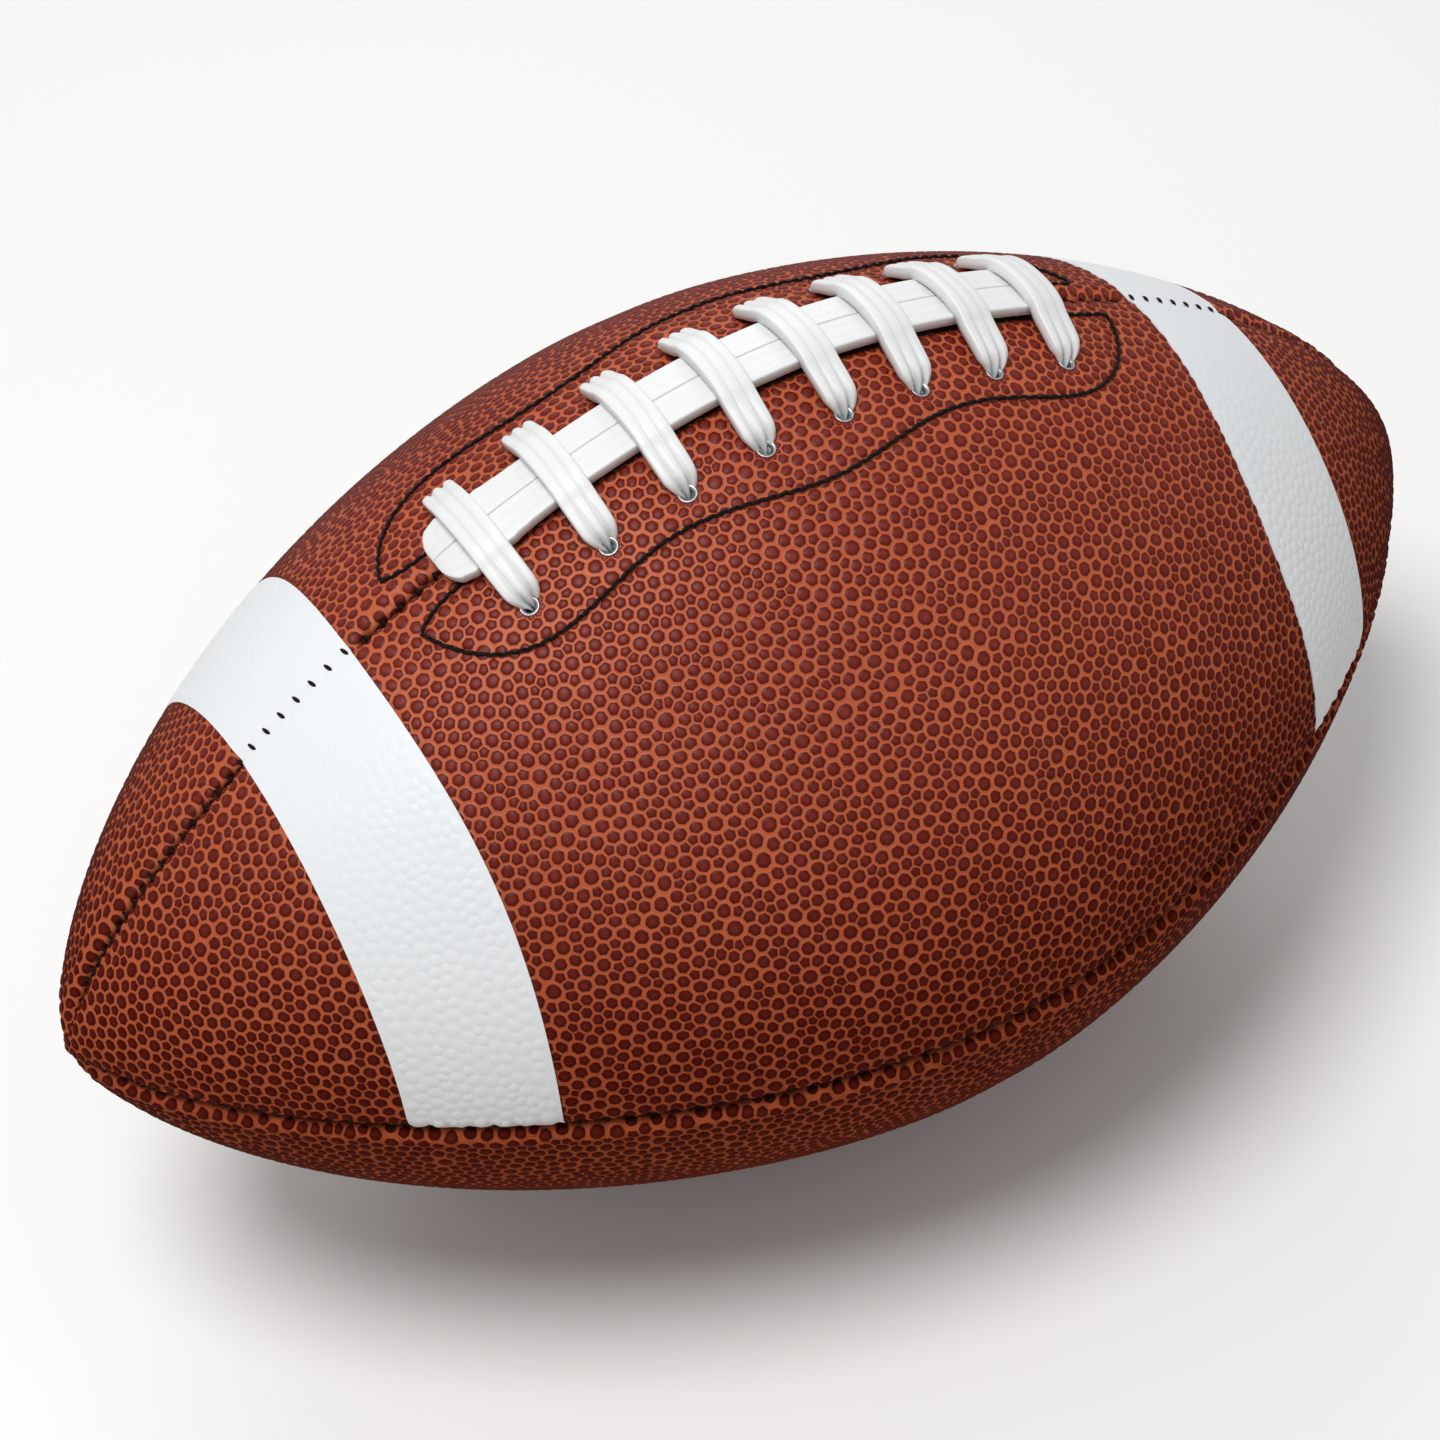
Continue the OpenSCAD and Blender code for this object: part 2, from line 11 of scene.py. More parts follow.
import bpy
import numpy as np
from mathutils import Matrix, Vector, kdtree
from mathutils.geometry import delaunay_2d_cdt


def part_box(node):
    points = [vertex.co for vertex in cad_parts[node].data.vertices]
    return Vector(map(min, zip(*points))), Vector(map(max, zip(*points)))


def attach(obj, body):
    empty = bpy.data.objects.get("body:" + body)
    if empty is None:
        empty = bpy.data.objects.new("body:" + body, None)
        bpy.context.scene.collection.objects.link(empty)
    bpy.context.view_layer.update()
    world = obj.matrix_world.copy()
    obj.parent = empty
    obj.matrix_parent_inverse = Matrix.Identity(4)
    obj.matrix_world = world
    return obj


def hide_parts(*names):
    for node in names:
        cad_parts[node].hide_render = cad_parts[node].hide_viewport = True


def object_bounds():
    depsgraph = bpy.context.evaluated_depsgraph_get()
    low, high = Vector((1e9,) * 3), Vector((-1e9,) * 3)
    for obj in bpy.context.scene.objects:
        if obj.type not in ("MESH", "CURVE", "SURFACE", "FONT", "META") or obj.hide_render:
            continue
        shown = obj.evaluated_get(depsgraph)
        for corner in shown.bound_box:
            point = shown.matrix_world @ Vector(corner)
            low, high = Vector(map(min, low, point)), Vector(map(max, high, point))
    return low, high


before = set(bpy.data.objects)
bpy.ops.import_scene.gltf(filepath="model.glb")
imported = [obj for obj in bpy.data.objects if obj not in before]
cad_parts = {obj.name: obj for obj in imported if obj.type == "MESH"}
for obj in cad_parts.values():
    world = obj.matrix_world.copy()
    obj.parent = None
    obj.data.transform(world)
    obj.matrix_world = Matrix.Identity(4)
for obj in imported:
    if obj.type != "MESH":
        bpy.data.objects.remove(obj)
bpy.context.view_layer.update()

# %% [markdown]
# ## The shape of the ball
# Every piece lies on or near one surface, so that surface comes first. A place on it has two
# numbers: s, its share of the half length, and phi, the angle round the long axis from the front
# towards the top. The section is nearly round, and a cosine swells it at the four seams. All sizes
# are in millimetres here, and each mesh is scaled to metres when it is made.

# %% Sizes of the ball
MM = 0.001
HALF_LEN = 141.5
BELLY_R = 80.85
BELLY_POWER = 1.75
TIP_POWER = 0.70
FLAT_END = 8
CORNER_MID = 0.038
CORNER_TIP = -0.015
TIP_SHARE = 0.9999
QUARTER = math.pi / 2
TOP_SEAM = QUARTER
FRONT_TOP, BACK_TOP, BACK_BOTTOM, FRONT_BOTTOM = [QUARTER * (k + 0.5) for k in range(4)]

axis_z = (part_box("panel_front_top")[1].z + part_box("panel_front_bottom")[0].z) / 2 / MM
print("the long axis lies at z =", round(axis_z, 3), "mm")


# %% Functions of the surface
def profile(s):
    level = (np.abs(s) ** 4 + (FLAT_END / HALF_LEN) ** 4) ** 0.25
    return np.clip(1 - level ** BELLY_POWER, 0, 1) ** TIP_POWER


def reach(s, phi, depth=0.0):
    swell = CORNER_MID + (CORNER_TIP - CORNER_MID) * s * s
    return (BELLY_R - depth) * profile(s) * (1 + swell * np.cos(4 * phi))


def at(s, phi, depth=0.0):
    """The point at share s, angle phi and a depth below the leather, in millimetres."""
    r = reach(s, phi, depth)
    return np.stack([(HALF_LEN - depth) * s, -r * np.cos(phi), r * np.sin(phi) + axis_z], axis=-1)


def side_phi(s, side):
    """The angle at a distance from the laced seam, measured along the leather: front is positive."""
    return TOP_SEAM - side / reach(s, TOP_SEAM)


print("height of the leather over the axis:", round(float(reach(0.0, TOP_SEAM)), 2), "mm")

# %% [markdown]
# The pebbles need a flat map of the surface on which nothing is squashed. A sea chart does that for
# a globe: it stretches both ways by the same factor. Its coordinate along the ball is the integral
# of length over radius, which is summed once in a table.

# %% A chart of the surface
TABLE_POINTS = 4001

table_s = np.sin(np.linspace(-1, 1, TABLE_POINTS) * math.asin(TIP_SHARE))
table_r = BELLY_R * profile(table_s)
table_step = np.hypot(np.diff(table_s) * HALF_LEN, np.diff(table_r))
table_len = np.concatenate([[0], np.cumsum(table_step)])
table_u = np.concatenate([[0], np.cumsum(table_step * 2 / (table_r[1:] + table_r[:-1]))])
table_u -= table_u[-1] / 2


def s_at_length(length):
    return np.interp(length, table_len, table_s)


def length_at_s(s):
    return np.interp(s, table_s, table_len)


def chart(s, phi):
    return np.stack([np.interp(s, table_s, table_u), phi + 0 * s], axis=-1)


def from_chart(uv):
    return np.interp(uv[:, 0], table_u, table_s), uv[:, 1]


print("tip to tip over the leather:", round(float(table_len[-1]), 1), "mm")

# %% [markdown]
# ## Nodes written as expressions
# Materials and repeated pieces are node trees. They could be wired by hand in the node editor, but
# written as sums they can be read and changed here. A small class wraps a node's output, so that
# sums and products in Python become Math nodes. The reflected forms let a number stand first, as in
# 1 - mask. Colours go through Mix nodes instead, because a Math node turns a colour grey.


# %% Values
class Value:
    """The output of a node, on which plain sums add Math nodes."""

    def __init__(self, graph, socket):
        self.graph = graph
        self.socket = socket

    def twin(self, name):
        """Another output of the same node."""
        return Value(self.graph, self.socket.node.outputs[name])

    def __add__(self, other):
        return self.graph.math("ADD", self, other)

    def __sub__(self, other):
        return self.graph.math("SUBTRACT", self, other)

    def __rsub__(self, other):
        return self.graph.math("SUBTRACT", other, self)

    def __mul__(self, other):
        return self.graph.math("MULTIPLY", self, other)

    def __truediv__(self, other):
        return self.graph.math("DIVIDE", self, other)

    def __rtruediv__(self, other):
        return self.graph.math("DIVIDE", other, self)

    __radd__ = __add__
    __rmul__ = __mul__


print("a value can stand in a sum with + - * /")

# %% [markdown]
# One method makes any node from its type, its settings and the values or links of its sockets. The
# other methods are short names for what the materials use often. They read Object coordinates,
# which stay with the ball when it moves, and never anything about the camera.


# %% Graphs
class Graph:
    """A node tree that is being built."""

    def __init__(self, tree, label=""):
        self.tree = tree
        self.label = label

    def node(self, kind, settings=None, inputs=None, out=0):
        made = self.tree.nodes.new(kind)
        for name, value in (settings or {}).items():
            setattr(made, name, value)
        for key, value in (inputs or {}).items():
            if isinstance(value, Value):
                self.tree.links.new(value.socket, made.inputs[key])
            else:
                made.inputs[key].default_value = value
        return Value(self, made.outputs[out]) if len(made.outputs) else None

    def math(self, operation, *terms):
        return self.node("ShaderNodeMath", {"operation": operation}, dict(enumerate(terms)))

    def mix(self, share, first, second):
        """A colour between two colours, each a value or three numbers."""
        ends = [c if isinstance(c, Value) else (*c, 1) for c in (first, second)]
        return self.node("ShaderNodeMix", {"data_type": "RGBA"}, {0: share, 6: ends[0], 7: ends[1]}, out=2)

    def smooth(self, value, low, high):
        """0 at low, 1 at high and a soft step between them."""
        settings = {"interpolation_type": "SMOOTHSTEP"}
        return self.node("ShaderNodeMapRange", settings, {0: value, 1: low, 2: high})

    def attribute(self, name):
        return self.node("ShaderNodeAttribute", {"attribute_name": name}, out=2)

    def place(self):
        return self.node("ShaderNodeTexCoord", out=3)

    def height(self):
        return self.node("ShaderNodeSeparateXYZ", None, {0: self.place()}, out=2)

    def from_centre(self):
        """Distance from the middle of a pebble, as a share of its size."""
        centre = self.node("ShaderNodeAttribute", {"attribute_name": "centre"}, out=1)
        settings = {"operation": "DISTANCE"}
        gap = self.node("ShaderNodeVectorMath", settings, {0: self.place(), 1: centre}, out=1)
        return gap / self.attribute("size")

    def noise(self, scale, detail=2.0):
        inputs = {"Vector": self.place(), "Scale": scale, "Detail": detail}
        return self.node("ShaderNodeTexNoise", None, inputs)

    def wave(self, direction, scale):
        inputs = {"Vector": self.place(), "Scale": scale}
        return self.node("ShaderNodeTexWave", {"bands_direction": direction}, inputs, out=1)

    def bump(self, height, distance, strength):
        inputs = {"Height": height, "Distance": distance, "Strength": strength}
        return self.node("ShaderNodeBump", None, inputs)

    def finish(self, inputs):
        """Ends a material in a Principled shader with these inputs."""
        shader = self.node("ShaderNodeBsdfPrincipled", None, inputs)
        self.node("ShaderNodeOutputMaterial", None, {"Surface": shader})
        print(self.label, "nodes:", len(self.tree.nodes))


# %% Materials and colours
def new_material(name):
    """A material and the graph that builds it."""
    made = bpy.data.materials.new(name)
    made.use_nodes = True
    made.node_tree.nodes.clear()
    return made, Graph(made.node_tree, name)


def rgb(red, green, blue):
    """A colour as a picture shows it, from 0 to 255, as the numbers that light works with."""
    return tuple(((c / 255 + 0.055) / 1.055) ** 2.4 for c in (red, green, blue))


print("a middle grey in a picture gives back", round(rgb(128, 128, 128)[0], 3), "of the light")

# %% [markdown]
# A Geometry Nodes tree has named inputs. The modifier's inputs are set before anything is
# evaluated, by the identifier of each socket, and the evaluated result becomes a plain mesh,
# because only plain meshes are exported.


# %% Trees that make geometry
class MeshGraph(Graph):
    """A node tree that makes geometry."""

    def named(self, name, kind="FLOAT"):
        """Reads what is kept on a mesh under a name."""
        return self.node("GeometryNodeInputNamedAttribute", {"data_type": kind}, {"Name": name})

    def keep(self, geometry, name, value, selection=True, domain="FACE", kind="FLOAT"):
        """Keeps a value on a mesh under a name."""
        inputs = {0: geometry, "Selection": selection, "Name": name, "Value": value}
        return self.node("GeometryNodeStoreNamedAttribute", {"data_type": kind, "domain": domain}, inputs)

    def more(self, value, limit):
        """True where the value is more than the limit."""
        settings = {"data_type": "FLOAT", "operation": "GREATER_THAN"}
        return self.node("FunctionNodeCompare", settings, {0: value, 1: limit})

    def extrude(self, geometry, height, **choice):
        """Pulls faces out by a height. The twin called Top tells which faces are the new tops."""
        inputs = {0: geometry, "Offset Scale": height, **choice}
        return self.node("GeometryNodeExtrudeMesh", {"mode": "FACES"}, inputs)

    def shrink(self, geometry, faces, share):
        inputs = {0: geometry, "Selection": faces, "Scale": share}
        return self.node("GeometryNodeScaleElements", {"domain": "FACE"}, inputs)


print("a tree can read, keep, pull out and shrink parts of a mesh")


# %% Open, close and run a tree
def new_tree(name, inputs):
    """A tree with its inputs as (name, kind, value). It gives the graph and a value for each input."""
    tree = bpy.data.node_groups.new(name, "GeometryNodeTree")
    tree.interface.new_socket("Geometry", in_out="INPUT", socket_type="NodeSocketGeometry")
    tree.interface.new_socket("Geometry", in_out="OUTPUT", socket_type="NodeSocketGeometry")
    for label, kind, value in inputs:
        socket = tree.interface.new_socket(label, in_out="INPUT", socket_type="NodeSocket" + kind)
        if value is not None:
            socket.default_value = value
    graph = MeshGraph(tree, name)
    entry = tree.nodes.new("NodeGroupInput")
    return graph, {socket.name: Value(graph, socket) for socket in entry.outputs if socket.name}


def close_tree(graph, geometry, material):
    """Ends a tree: real copies, soft shading, the material and the output."""
    geometry = graph.node("GeometryNodeRealizeInstances", None, {0: geometry})
    geometry = graph.node("GeometryNodeSetShadeSmooth", None, {0: geometry})
    geometry = graph.node("GeometryNodeSetMaterial", None, {0: geometry, "Material": material})
    graph.node("NodeGroupOutput", None, {0: geometry})
    print(graph.label, "nodes:", len(graph.tree.nodes))
    return graph.tree


def run_tree(piece, tree, **values):
    """Runs a tree on a piece and keeps the result as its plain mesh."""
    modifier = piece.modifiers.new(tree.name, "NODES")
    modifier.node_group = tree
    for item in tree.interface.items_tree:
        label = item.name.lower().replace(" ", "_")
        if item.in_out == "INPUT" and label in values:
            modifier[item.identifier] = values[label]
    depsgraph = bpy.context.evaluated_depsgraph_get()
    mesh = bpy.data.meshes.new_from_object(piece.evaluated_get(depsgraph))
    piece.modifiers.remove(modifier)
    piece.data = mesh


print("trees before the first one is made:", len(bpy.data.node_groups))


# %% Meshes and pieces
def new_piece(name, points, faces, attributes=None):
    """A mesh object from points in millimetres, with numbers or vectors kept on its points."""
    mesh = bpy.data.meshes.new(name)
    mesh.from_pydata((np.asarray(points) * MM).tolist(), [], [[int(k) for k in face] for face in faces])
    for label, values in (attributes or {}).items():
        values = np.asarray(values, float)
        kind, key = ("FLOAT_VECTOR", "vector") if values.ndim == 2 else ("FLOAT", "value")
        mesh.attributes.new(label, kind, "POINT").data.foreach_set(key, values.ravel())
    piece = bpy.data.objects.new(name, mesh)
    bpy.context.scene.collection.objects.link(piece)
    return piece


def put_in_place(piece, node):
    """Hides the part of the rigid model that a finished piece stands for, and attaches the piece to the root
    body.
    """
    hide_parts(node)
    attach(piece, "root")
    print(piece.name, "triangles:", sum(len(face.vertices) - 2 for face in piece.data.polygons))


print("pieces before the first one is made:", len(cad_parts))

# %% [markdown]
# ## The camera
# A camera can be placed by eye, but this one was fitted to the photo together with the shape of
# the ball. It looks down on the front upper panel and is rolled a little to the left. Its distance,
# turn and focal length put the tips, the seams, the stripes and the lace where the photo has them.

# %% Camera
CAMERA_AZIMUTH = math.radians(-28.831)
CAMERA_HEIGHT = math.radians(46.976)
CAMERA_ROLL = math.radians(-3.646)
CAMERA_DISTANCE = 589.816
CAMERA_SHIFT = (-9.22, -1.745)
FOCAL_PIXELS = 3196.3
PHOTO_SIZE = 1440
SENSOR = 36

out = Vector((math.sin(CAMERA_AZIMUTH) * math.cos(CAMERA_HEIGHT),
              -math.cos(CAMERA_AZIMUTH) * math.cos(CAMERA_HEIGHT),
              math.sin(CAMERA_HEIGHT)))
level = Vector((math.cos(CAMERA_AZIMUTH), math.sin(CAMERA_AZIMUTH), 0))
rise = out.cross(level)
right = math.cos(CAMERA_ROLL) * level + math.sin(CAMERA_ROLL) * rise
up = out.cross(right)
stand = out * CAMERA_DISTANCE + right * CAMERA_SHIFT[0] + up * CAMERA_SHIFT[1] + Vector((0, 0, axis_z))
camera = bpy.data.objects.new("camera", bpy.data.cameras.new("camera"))
camera.data.sensor_width = SENSOR
camera.data.lens = SENSOR * FOCAL_PIXELS / PHOTO_SIZE
camera.data.clip_start = 0.01
camera.matrix_world = Matrix.Translation(stand * MM) @ Matrix((right, up, out)).transposed().to_4x4()
bpy.context.scene.collection.objects.link(camera)
bpy.context.scene.camera = camera
print("camera at", [round(v, 3) for v in camera.location], "lens", round(camera.data.lens, 2))

# %% [markdown]
# ## Stitches, holes and how they pull the leather
# The panels are sewn inside out and turned, so each seam is a groove. The front upper and the rear
# lower panel lap over the edges of the other two, which makes their side of the groove steep and
# the other side a wide shoulder with a low roll behind it. Every stitch pulls the groove tighter
# and leaves a pucker. The grooves could be carved into each panel, but one depth for each place on
# the leather makes panels, stripes and threads agree.

# %% Sizes of the seams
GROOVE_DEPTH = 2.5
SHOULDER = 3.8
LAP_DEPTH = 0.8
LAP_SHOULDER = 1.8
LAP_PUCKER_SHARE = 0.6
SHOULDER_POWER = 2.0
ROLL_RISE = 0.35
ROLL_PLACE = 3.8
ROLL_WIDTH = 1.7
STITCH_PITCH = 4.0
STITCH_END = 0.955
PUCKER_DEPTH = 1.1
PUCKER_WIDTH = 2.2
PUCKER_POWER = 4
FADE_SHARE = 0.2
print("a groove is", GROOVE_DEPTH, "mm deep and has a stitch every", STITCH_PITCH, "mm")

# %% Sizes of the lacing
CROSS_COUNT = 8
CROSS_PITCH = 15.1
FIRST_CROSS = (CROSS_COUNT - 1) * CROSS_PITCH / 2
HOLE_SIDE = 16
BAR_END = FIRST_CROSS + 7.65
SLIT_END = FIRST_CROSS + 5.15
SLIT_HALF = 1.2
LACE_THICK = 2.4
HOLE_R = 1.55
DIMPLE_DEPTH = 0.4
DIMPLE_WIDTH = 4.5
VALVE_R = 3.3
FURROW_DEPTH = 0.35
FURROW_WIDTH = 0.9

cross_xs = [CROSS_PITCH * k - FIRST_CROSS for k in range(CROSS_COUNT)]
lace_holes = [(x / HALF_LEN, side) for side in (1, -1) for x in cross_xs]
print("lace holes:", len(lace_holes), "and the slit is", round(2 * SLIT_END, 1), "mm long")


# %% Places of the seam stitches
def stitch_places(start, end):
    """Shares s of the stitches between two places on a seam, closer together towards the tips."""
    a, b = math.asin(start), math.asin(end)
    count = max(2, round((b - a) * HALF_LEN / STITCH_PITCH))
    return np.sin(np.linspace(a, b, count + 1))


laced_start = (BAR_END + LACE_THICK / 2) / HALF_LEN
long_seam = stitch_places(-STITCH_END, STITCH_END)
right_stitches = stitch_places(laced_start, STITCH_END)
top_stitches = np.concatenate([stitch_places(-STITCH_END, -laced_start), right_stitches])
print("stitches on a long seam:", len(long_seam), "and on the laced one:", len(top_stitches))


# %% [markdown]
# A black stitch line runs round each row of lace holes and holds the facing behind them. Its outer
# side swings in and out in the photo, which a cosine gives, and its left corner runs out to a point.


# %% The black stitch line
OUTLINE_END = FIRST_CROSS + 16.65
LOBE_SIDE = 23.5
LOBE_SWING = 2.3
LOBE_PITCH = 58
INNER_SIDE = 5
OUTLINE_STEP = 0.5
OUTLINE_SAMPLES = 400
OUTLINE_POWER = 6
TAIL_OUT = 2.6
TAIL_START = 61
TAIL_LEN = 8.5


def outline(side, step=OUTLINE_STEP):
    """Shares s and angles of the stitch line on one side, evenly spaced along its length."""
    x = OUTLINE_END * np.sin(np.linspace(-QUARTER, QUARTER, OUTLINE_SAMPLES))
    arch = np.sqrt(np.clip(1 - np.abs(x / OUTLINE_END) ** OUTLINE_POWER, 0, 1))
    far = (LOBE_SIDE + LOBE_SWING * np.cos(2 * math.pi * x / LOBE_PITCH)) * arch
    near_side = INNER_SIDE + TAIL_OUT * np.clip((-x - TAIL_START) / TAIL_LEN, 0, 1) ** 2
    x, far, near_side = (v[far > near_side] for v in (x, far, near_side))
    xs = np.concatenate([x, x[::-1]])
    sides = np.concatenate([far, near_side[::-1]])
    s = xs / HALF_LEN
    line = at(s, side_phi(s, side * sides))
    along = np.concatenate([[0], np.cumsum(np.linalg.norm(np.diff(line, axis=0), axis=1))])
    even = np.linspace(0, along[-1], max(3, round(along[-1] / step)), endpoint=False)
    return np.interp(even, along, s), np.interp(even, along, side_phi(s, side * sides))


print("length of one stitch line:", round(len(outline(1)[0]) * OUTLINE_STEP), "mm")


# %% Places of the stripes
STRIPE_IN = 78.2
STRIPE_OUT = 100.0
STRIPE_BOW = 1.9


def stripe_in(phi):
    """Where the inner edge of a stripe lies. It bows a little towards the middle between two seams."""
    return (STRIPE_IN - STRIPE_BOW * (1 - np.cos(4 * phi)) / 2) / HALF_LEN


def under_stripe(s, phi):
    """How far a place lies inside the nearest edge of a stripe, in millimetres along the axis."""
    return np.minimum(np.abs(s) - stripe_in(phi), STRIPE_OUT / HALF_LEN - np.abs(s)) * HALF_LEN


print("a stripe on the seam is", round(STRIPE_OUT - STRIPE_IN, 1), "mm wide along the axis")

# %% [markdown]
# The depth of a place is a groove, a pucker at each stitch and a low roll beside the groove. All
# fade out towards the tips, where the leather is stiff, and under a stripe, whose coat fills them.


# %% Puckers along the seams
def pucker_phase(s, phi):
    """1 at a stitch, 0 half way between two, and 0 where the seam is open for the lace."""
    top = np.abs(phi - TOP_SEAM) < QUARTER / 2
    phase = np.zeros(len(s))
    for places, here in ((long_seam, ~top), (top_stitches, top)):
        count = np.interp(s, places, np.arange(len(places)))
        phase = np.where(here, np.cos(math.pi * count) ** PUCKER_POWER, phase)
    return np.where(top & (np.abs(s) < laced_start), 0, phase)


def laps(phi):
    """True on the two panels whose edges lap over their neighbours."""
    return np.cos(2 * (phi - FRONT_TOP)) > 0


print("pucker at the first stitch:", pucker_phase(long_seam[:1], np.zeros(1))[0])

# %% Depth along the seams
COAT_FILL = 0.88
COAT_FILL_LEN = 1.6


def seam_depth(s, phi):
    """How deep the leather is pressed at each place by the seam that is nearest."""
    gap = np.abs((phi + QUARTER / 2) % QUARTER - QUARTER / 2) * reach(s, TOP_SEAM)
    deepest = np.where(laps(phi), LAP_DEPTH, GROOVE_DEPTH)
    wide = np.where(laps(phi), LAP_SHOULDER, SHOULDER)
    groove = deepest * np.clip(1 - gap / wide, 0, 1) ** SHOULDER_POWER
    pucker = PUCKER_DEPTH * pucker_phase(s, phi) * np.exp(-((gap / PUCKER_WIDTH) ** 2))
    pucker *= np.where(laps(phi), LAP_PUCKER_SHARE, 1)
    filled = np.clip(1 + under_stripe(s, phi) / COAT_FILL_LEN, 0, 1) * (np.abs(phi - TOP_SEAM) < QUARTER / 2)
    roll = ROLL_RISE * np.exp(-(((gap - ROLL_PLACE) / ROLL_WIDTH) ** 2)) * ~laps(phi)
    fade = np.minimum(1, profile(s) / FADE_SHARE)
    return ((groove - roll) * (1 - COAT_FILL * filled) + pucker * (1 - filled)) * fade


just_below = np.full(len(long_seam), -0.001)
print("deepest place of the front seam:", round(float(seam_depth(long_seam, just_below).max()), 2), "mm")

# %% [markdown]
# The stitch line lies in a shallow furrow, and the leather dips a little towards each lace hole.
# Both depend on the gap to the nearest of many points, which a k-d tree finds fast.


# %% Depth round the lacing
LACING_Z = 50


def near(points, targets, width):
    """1 at a target point, falling softly to 0 at a few widths from it."""
    tree = kdtree.KDTree(len(targets))
    for i, target in enumerate(targets):
        tree.insert(target, i)
    tree.balance()
    gap = np.array([tree.find(p)[2] for p in points])
    return np.exp(-((gap / width) ** 2))


furrows = np.concatenate([at(*outline(side)) for side in (1, -1)])
hole_middles = [at(s, side_phi(s, side * HOLE_SIDE)) for s, side in lace_holes]
print("furrow points:", len(furrows), "lace holes:", len(hole_middles))


# %% Press the leather
def press(points):
    """Moves points that lie near the leather down by its depth, and gives that depth too."""
    s = points[:, 0] / HALF_LEN
    phi = np.arctan2(points[:, 2] - axis_z, -points[:, 1]) % (2 * math.pi)
    depth = seam_depth(s, phi)
    close = np.flatnonzero((points[:, 2] > LACING_Z) & (np.abs(points[:, 0]) < OUTLINE_END + SHOULDER))
    if len(close):
        lacing = FURROW_DEPTH * near(points[close], furrows, FURROW_WIDTH)
        depth[close] += lacing + DIMPLE_DEPTH * near(points[close], hole_middles, DIMPLE_WIDTH)
    moved = points - [0, 0, axis_z]
    moved[:, 0] *= 1 - depth / HALF_LEN
    moved[:, 1:] *= (1 - depth / BELLY_R)[:, None]
    return moved + [0, 0, axis_z], depth


print("dip at the first lace hole:", round(float(press(hole_middles[0][None])[1][0]), 2), "mm")

# %% [markdown]
# ## Pebbles
# Football leather is embossed with thousands of small raised pebbles, each a rounded polygon. A
# noise texture could fake them, but they catch the light and break up the edge of every stripe, so
# they are real here. Points are scattered over a panel and moved until they are evenly spaced.
# Triangles between them are turned inside out by the Dual Mesh node, which gives each point a cell
# of its own, and every cell is then raised into a cap with a smaller crown on it.


# %% Triangles between points
def triangulate(uv, edges):
    """Triangles between points, with the given edges kept."""
    _, _, faces, origin, _, _ = delaunay_2d_cdt([Vector(p) for p in uv], edges, [], 0, 1e-7)
    index = np.array([o[0] if o else -1 for o in origin])
    faces = index[np.array(faces)]
    return faces[(faces >= 0).all(axis=1)]


square = np.array([(0, 0), (1, 0), (1, 1), (0, 1)])
print("triangles in a square:", len(triangulate(square, [])))

# %% [markdown]
# The cut edges of a sheet get points of their own: two long sides along seams, two ends, and a
# ring round each hole. They stay where they are while the loose points move.

# %% Cut edges of a sheet
EDGE_STEP = 1.9
HOLE_POINTS = 10
SLOPE_STEP = 0.001


def boundary(low_s, high_s, low_phi, high_phi):
    """Evenly spaced points round a sheet. Its long sides follow two seams and its ends two curves."""
    loop = []
    for phi_of, backwards in ((low_phi, False), (high_phi, True)):
        phi_guess = float(phi_of(np.zeros(1))[0])
        first, last = length_at_s(low_s(phi_guess)), length_at_s(high_s(phi_guess))
        lengths = np.linspace(first, last, max(4, round((last - first) / EDGE_STEP)))
        s = s_at_length(lengths[::-1] if backwards else lengths)
        loop.append(np.stack([s, phi_of(s)], axis=-1))
        end_s, end_phi = (low_s, low_phi) if backwards else (high_s, high_phi)
        start_phi, stop_phi = loop[-1][-1, 1], end_phi(s[-1:])[0]
        width = abs(stop_phi - start_phi) * reach(s[-1], TOP_SEAM)
        phis = np.linspace(start_phi, stop_phi, max(2, round(width / EDGE_STEP)) + 1)[1:-1]
        loop.append(np.stack([end_s(phis), phis], axis=-1))
    return np.concatenate(loop)


def rim(low_s, high_s, low_phi, high_phi, holes):
    """Points on the cut edges of a sheet, as s and phi, and the edges between them."""
    loops = [boundary(low_s, high_s, low_phi, high_phi)]
    for s, phi, radius in holes:
        slope = (length_at_s(s + SLOPE_STEP) - length_at_s(s - SLOPE_STEP)) / (2 * SLOPE_STEP)
        angle = np.arange(HOLE_POINTS) * 2 * math.pi / HOLE_POINTS
        ring = [s + radius * np.cos(angle) / slope, phi + radius * np.sin(angle) / reach(s, phi)]
        loops.append(np.stack(ring, axis=-1))
    edges, first = [], 0
    for loop in loops:
        edges += [(first + i, first + (i + 1) % len(loop)) for i in range(len(loop))]
        first += len(loop)
    return np.concatenate(loops), edges


print("a point every", EDGE_STEP, "mm along an edge and", HOLE_POINTS, "round a hole")

# %% Loose points
ROW_SHARE = 0.87
EDGE_ROOM = 0.5


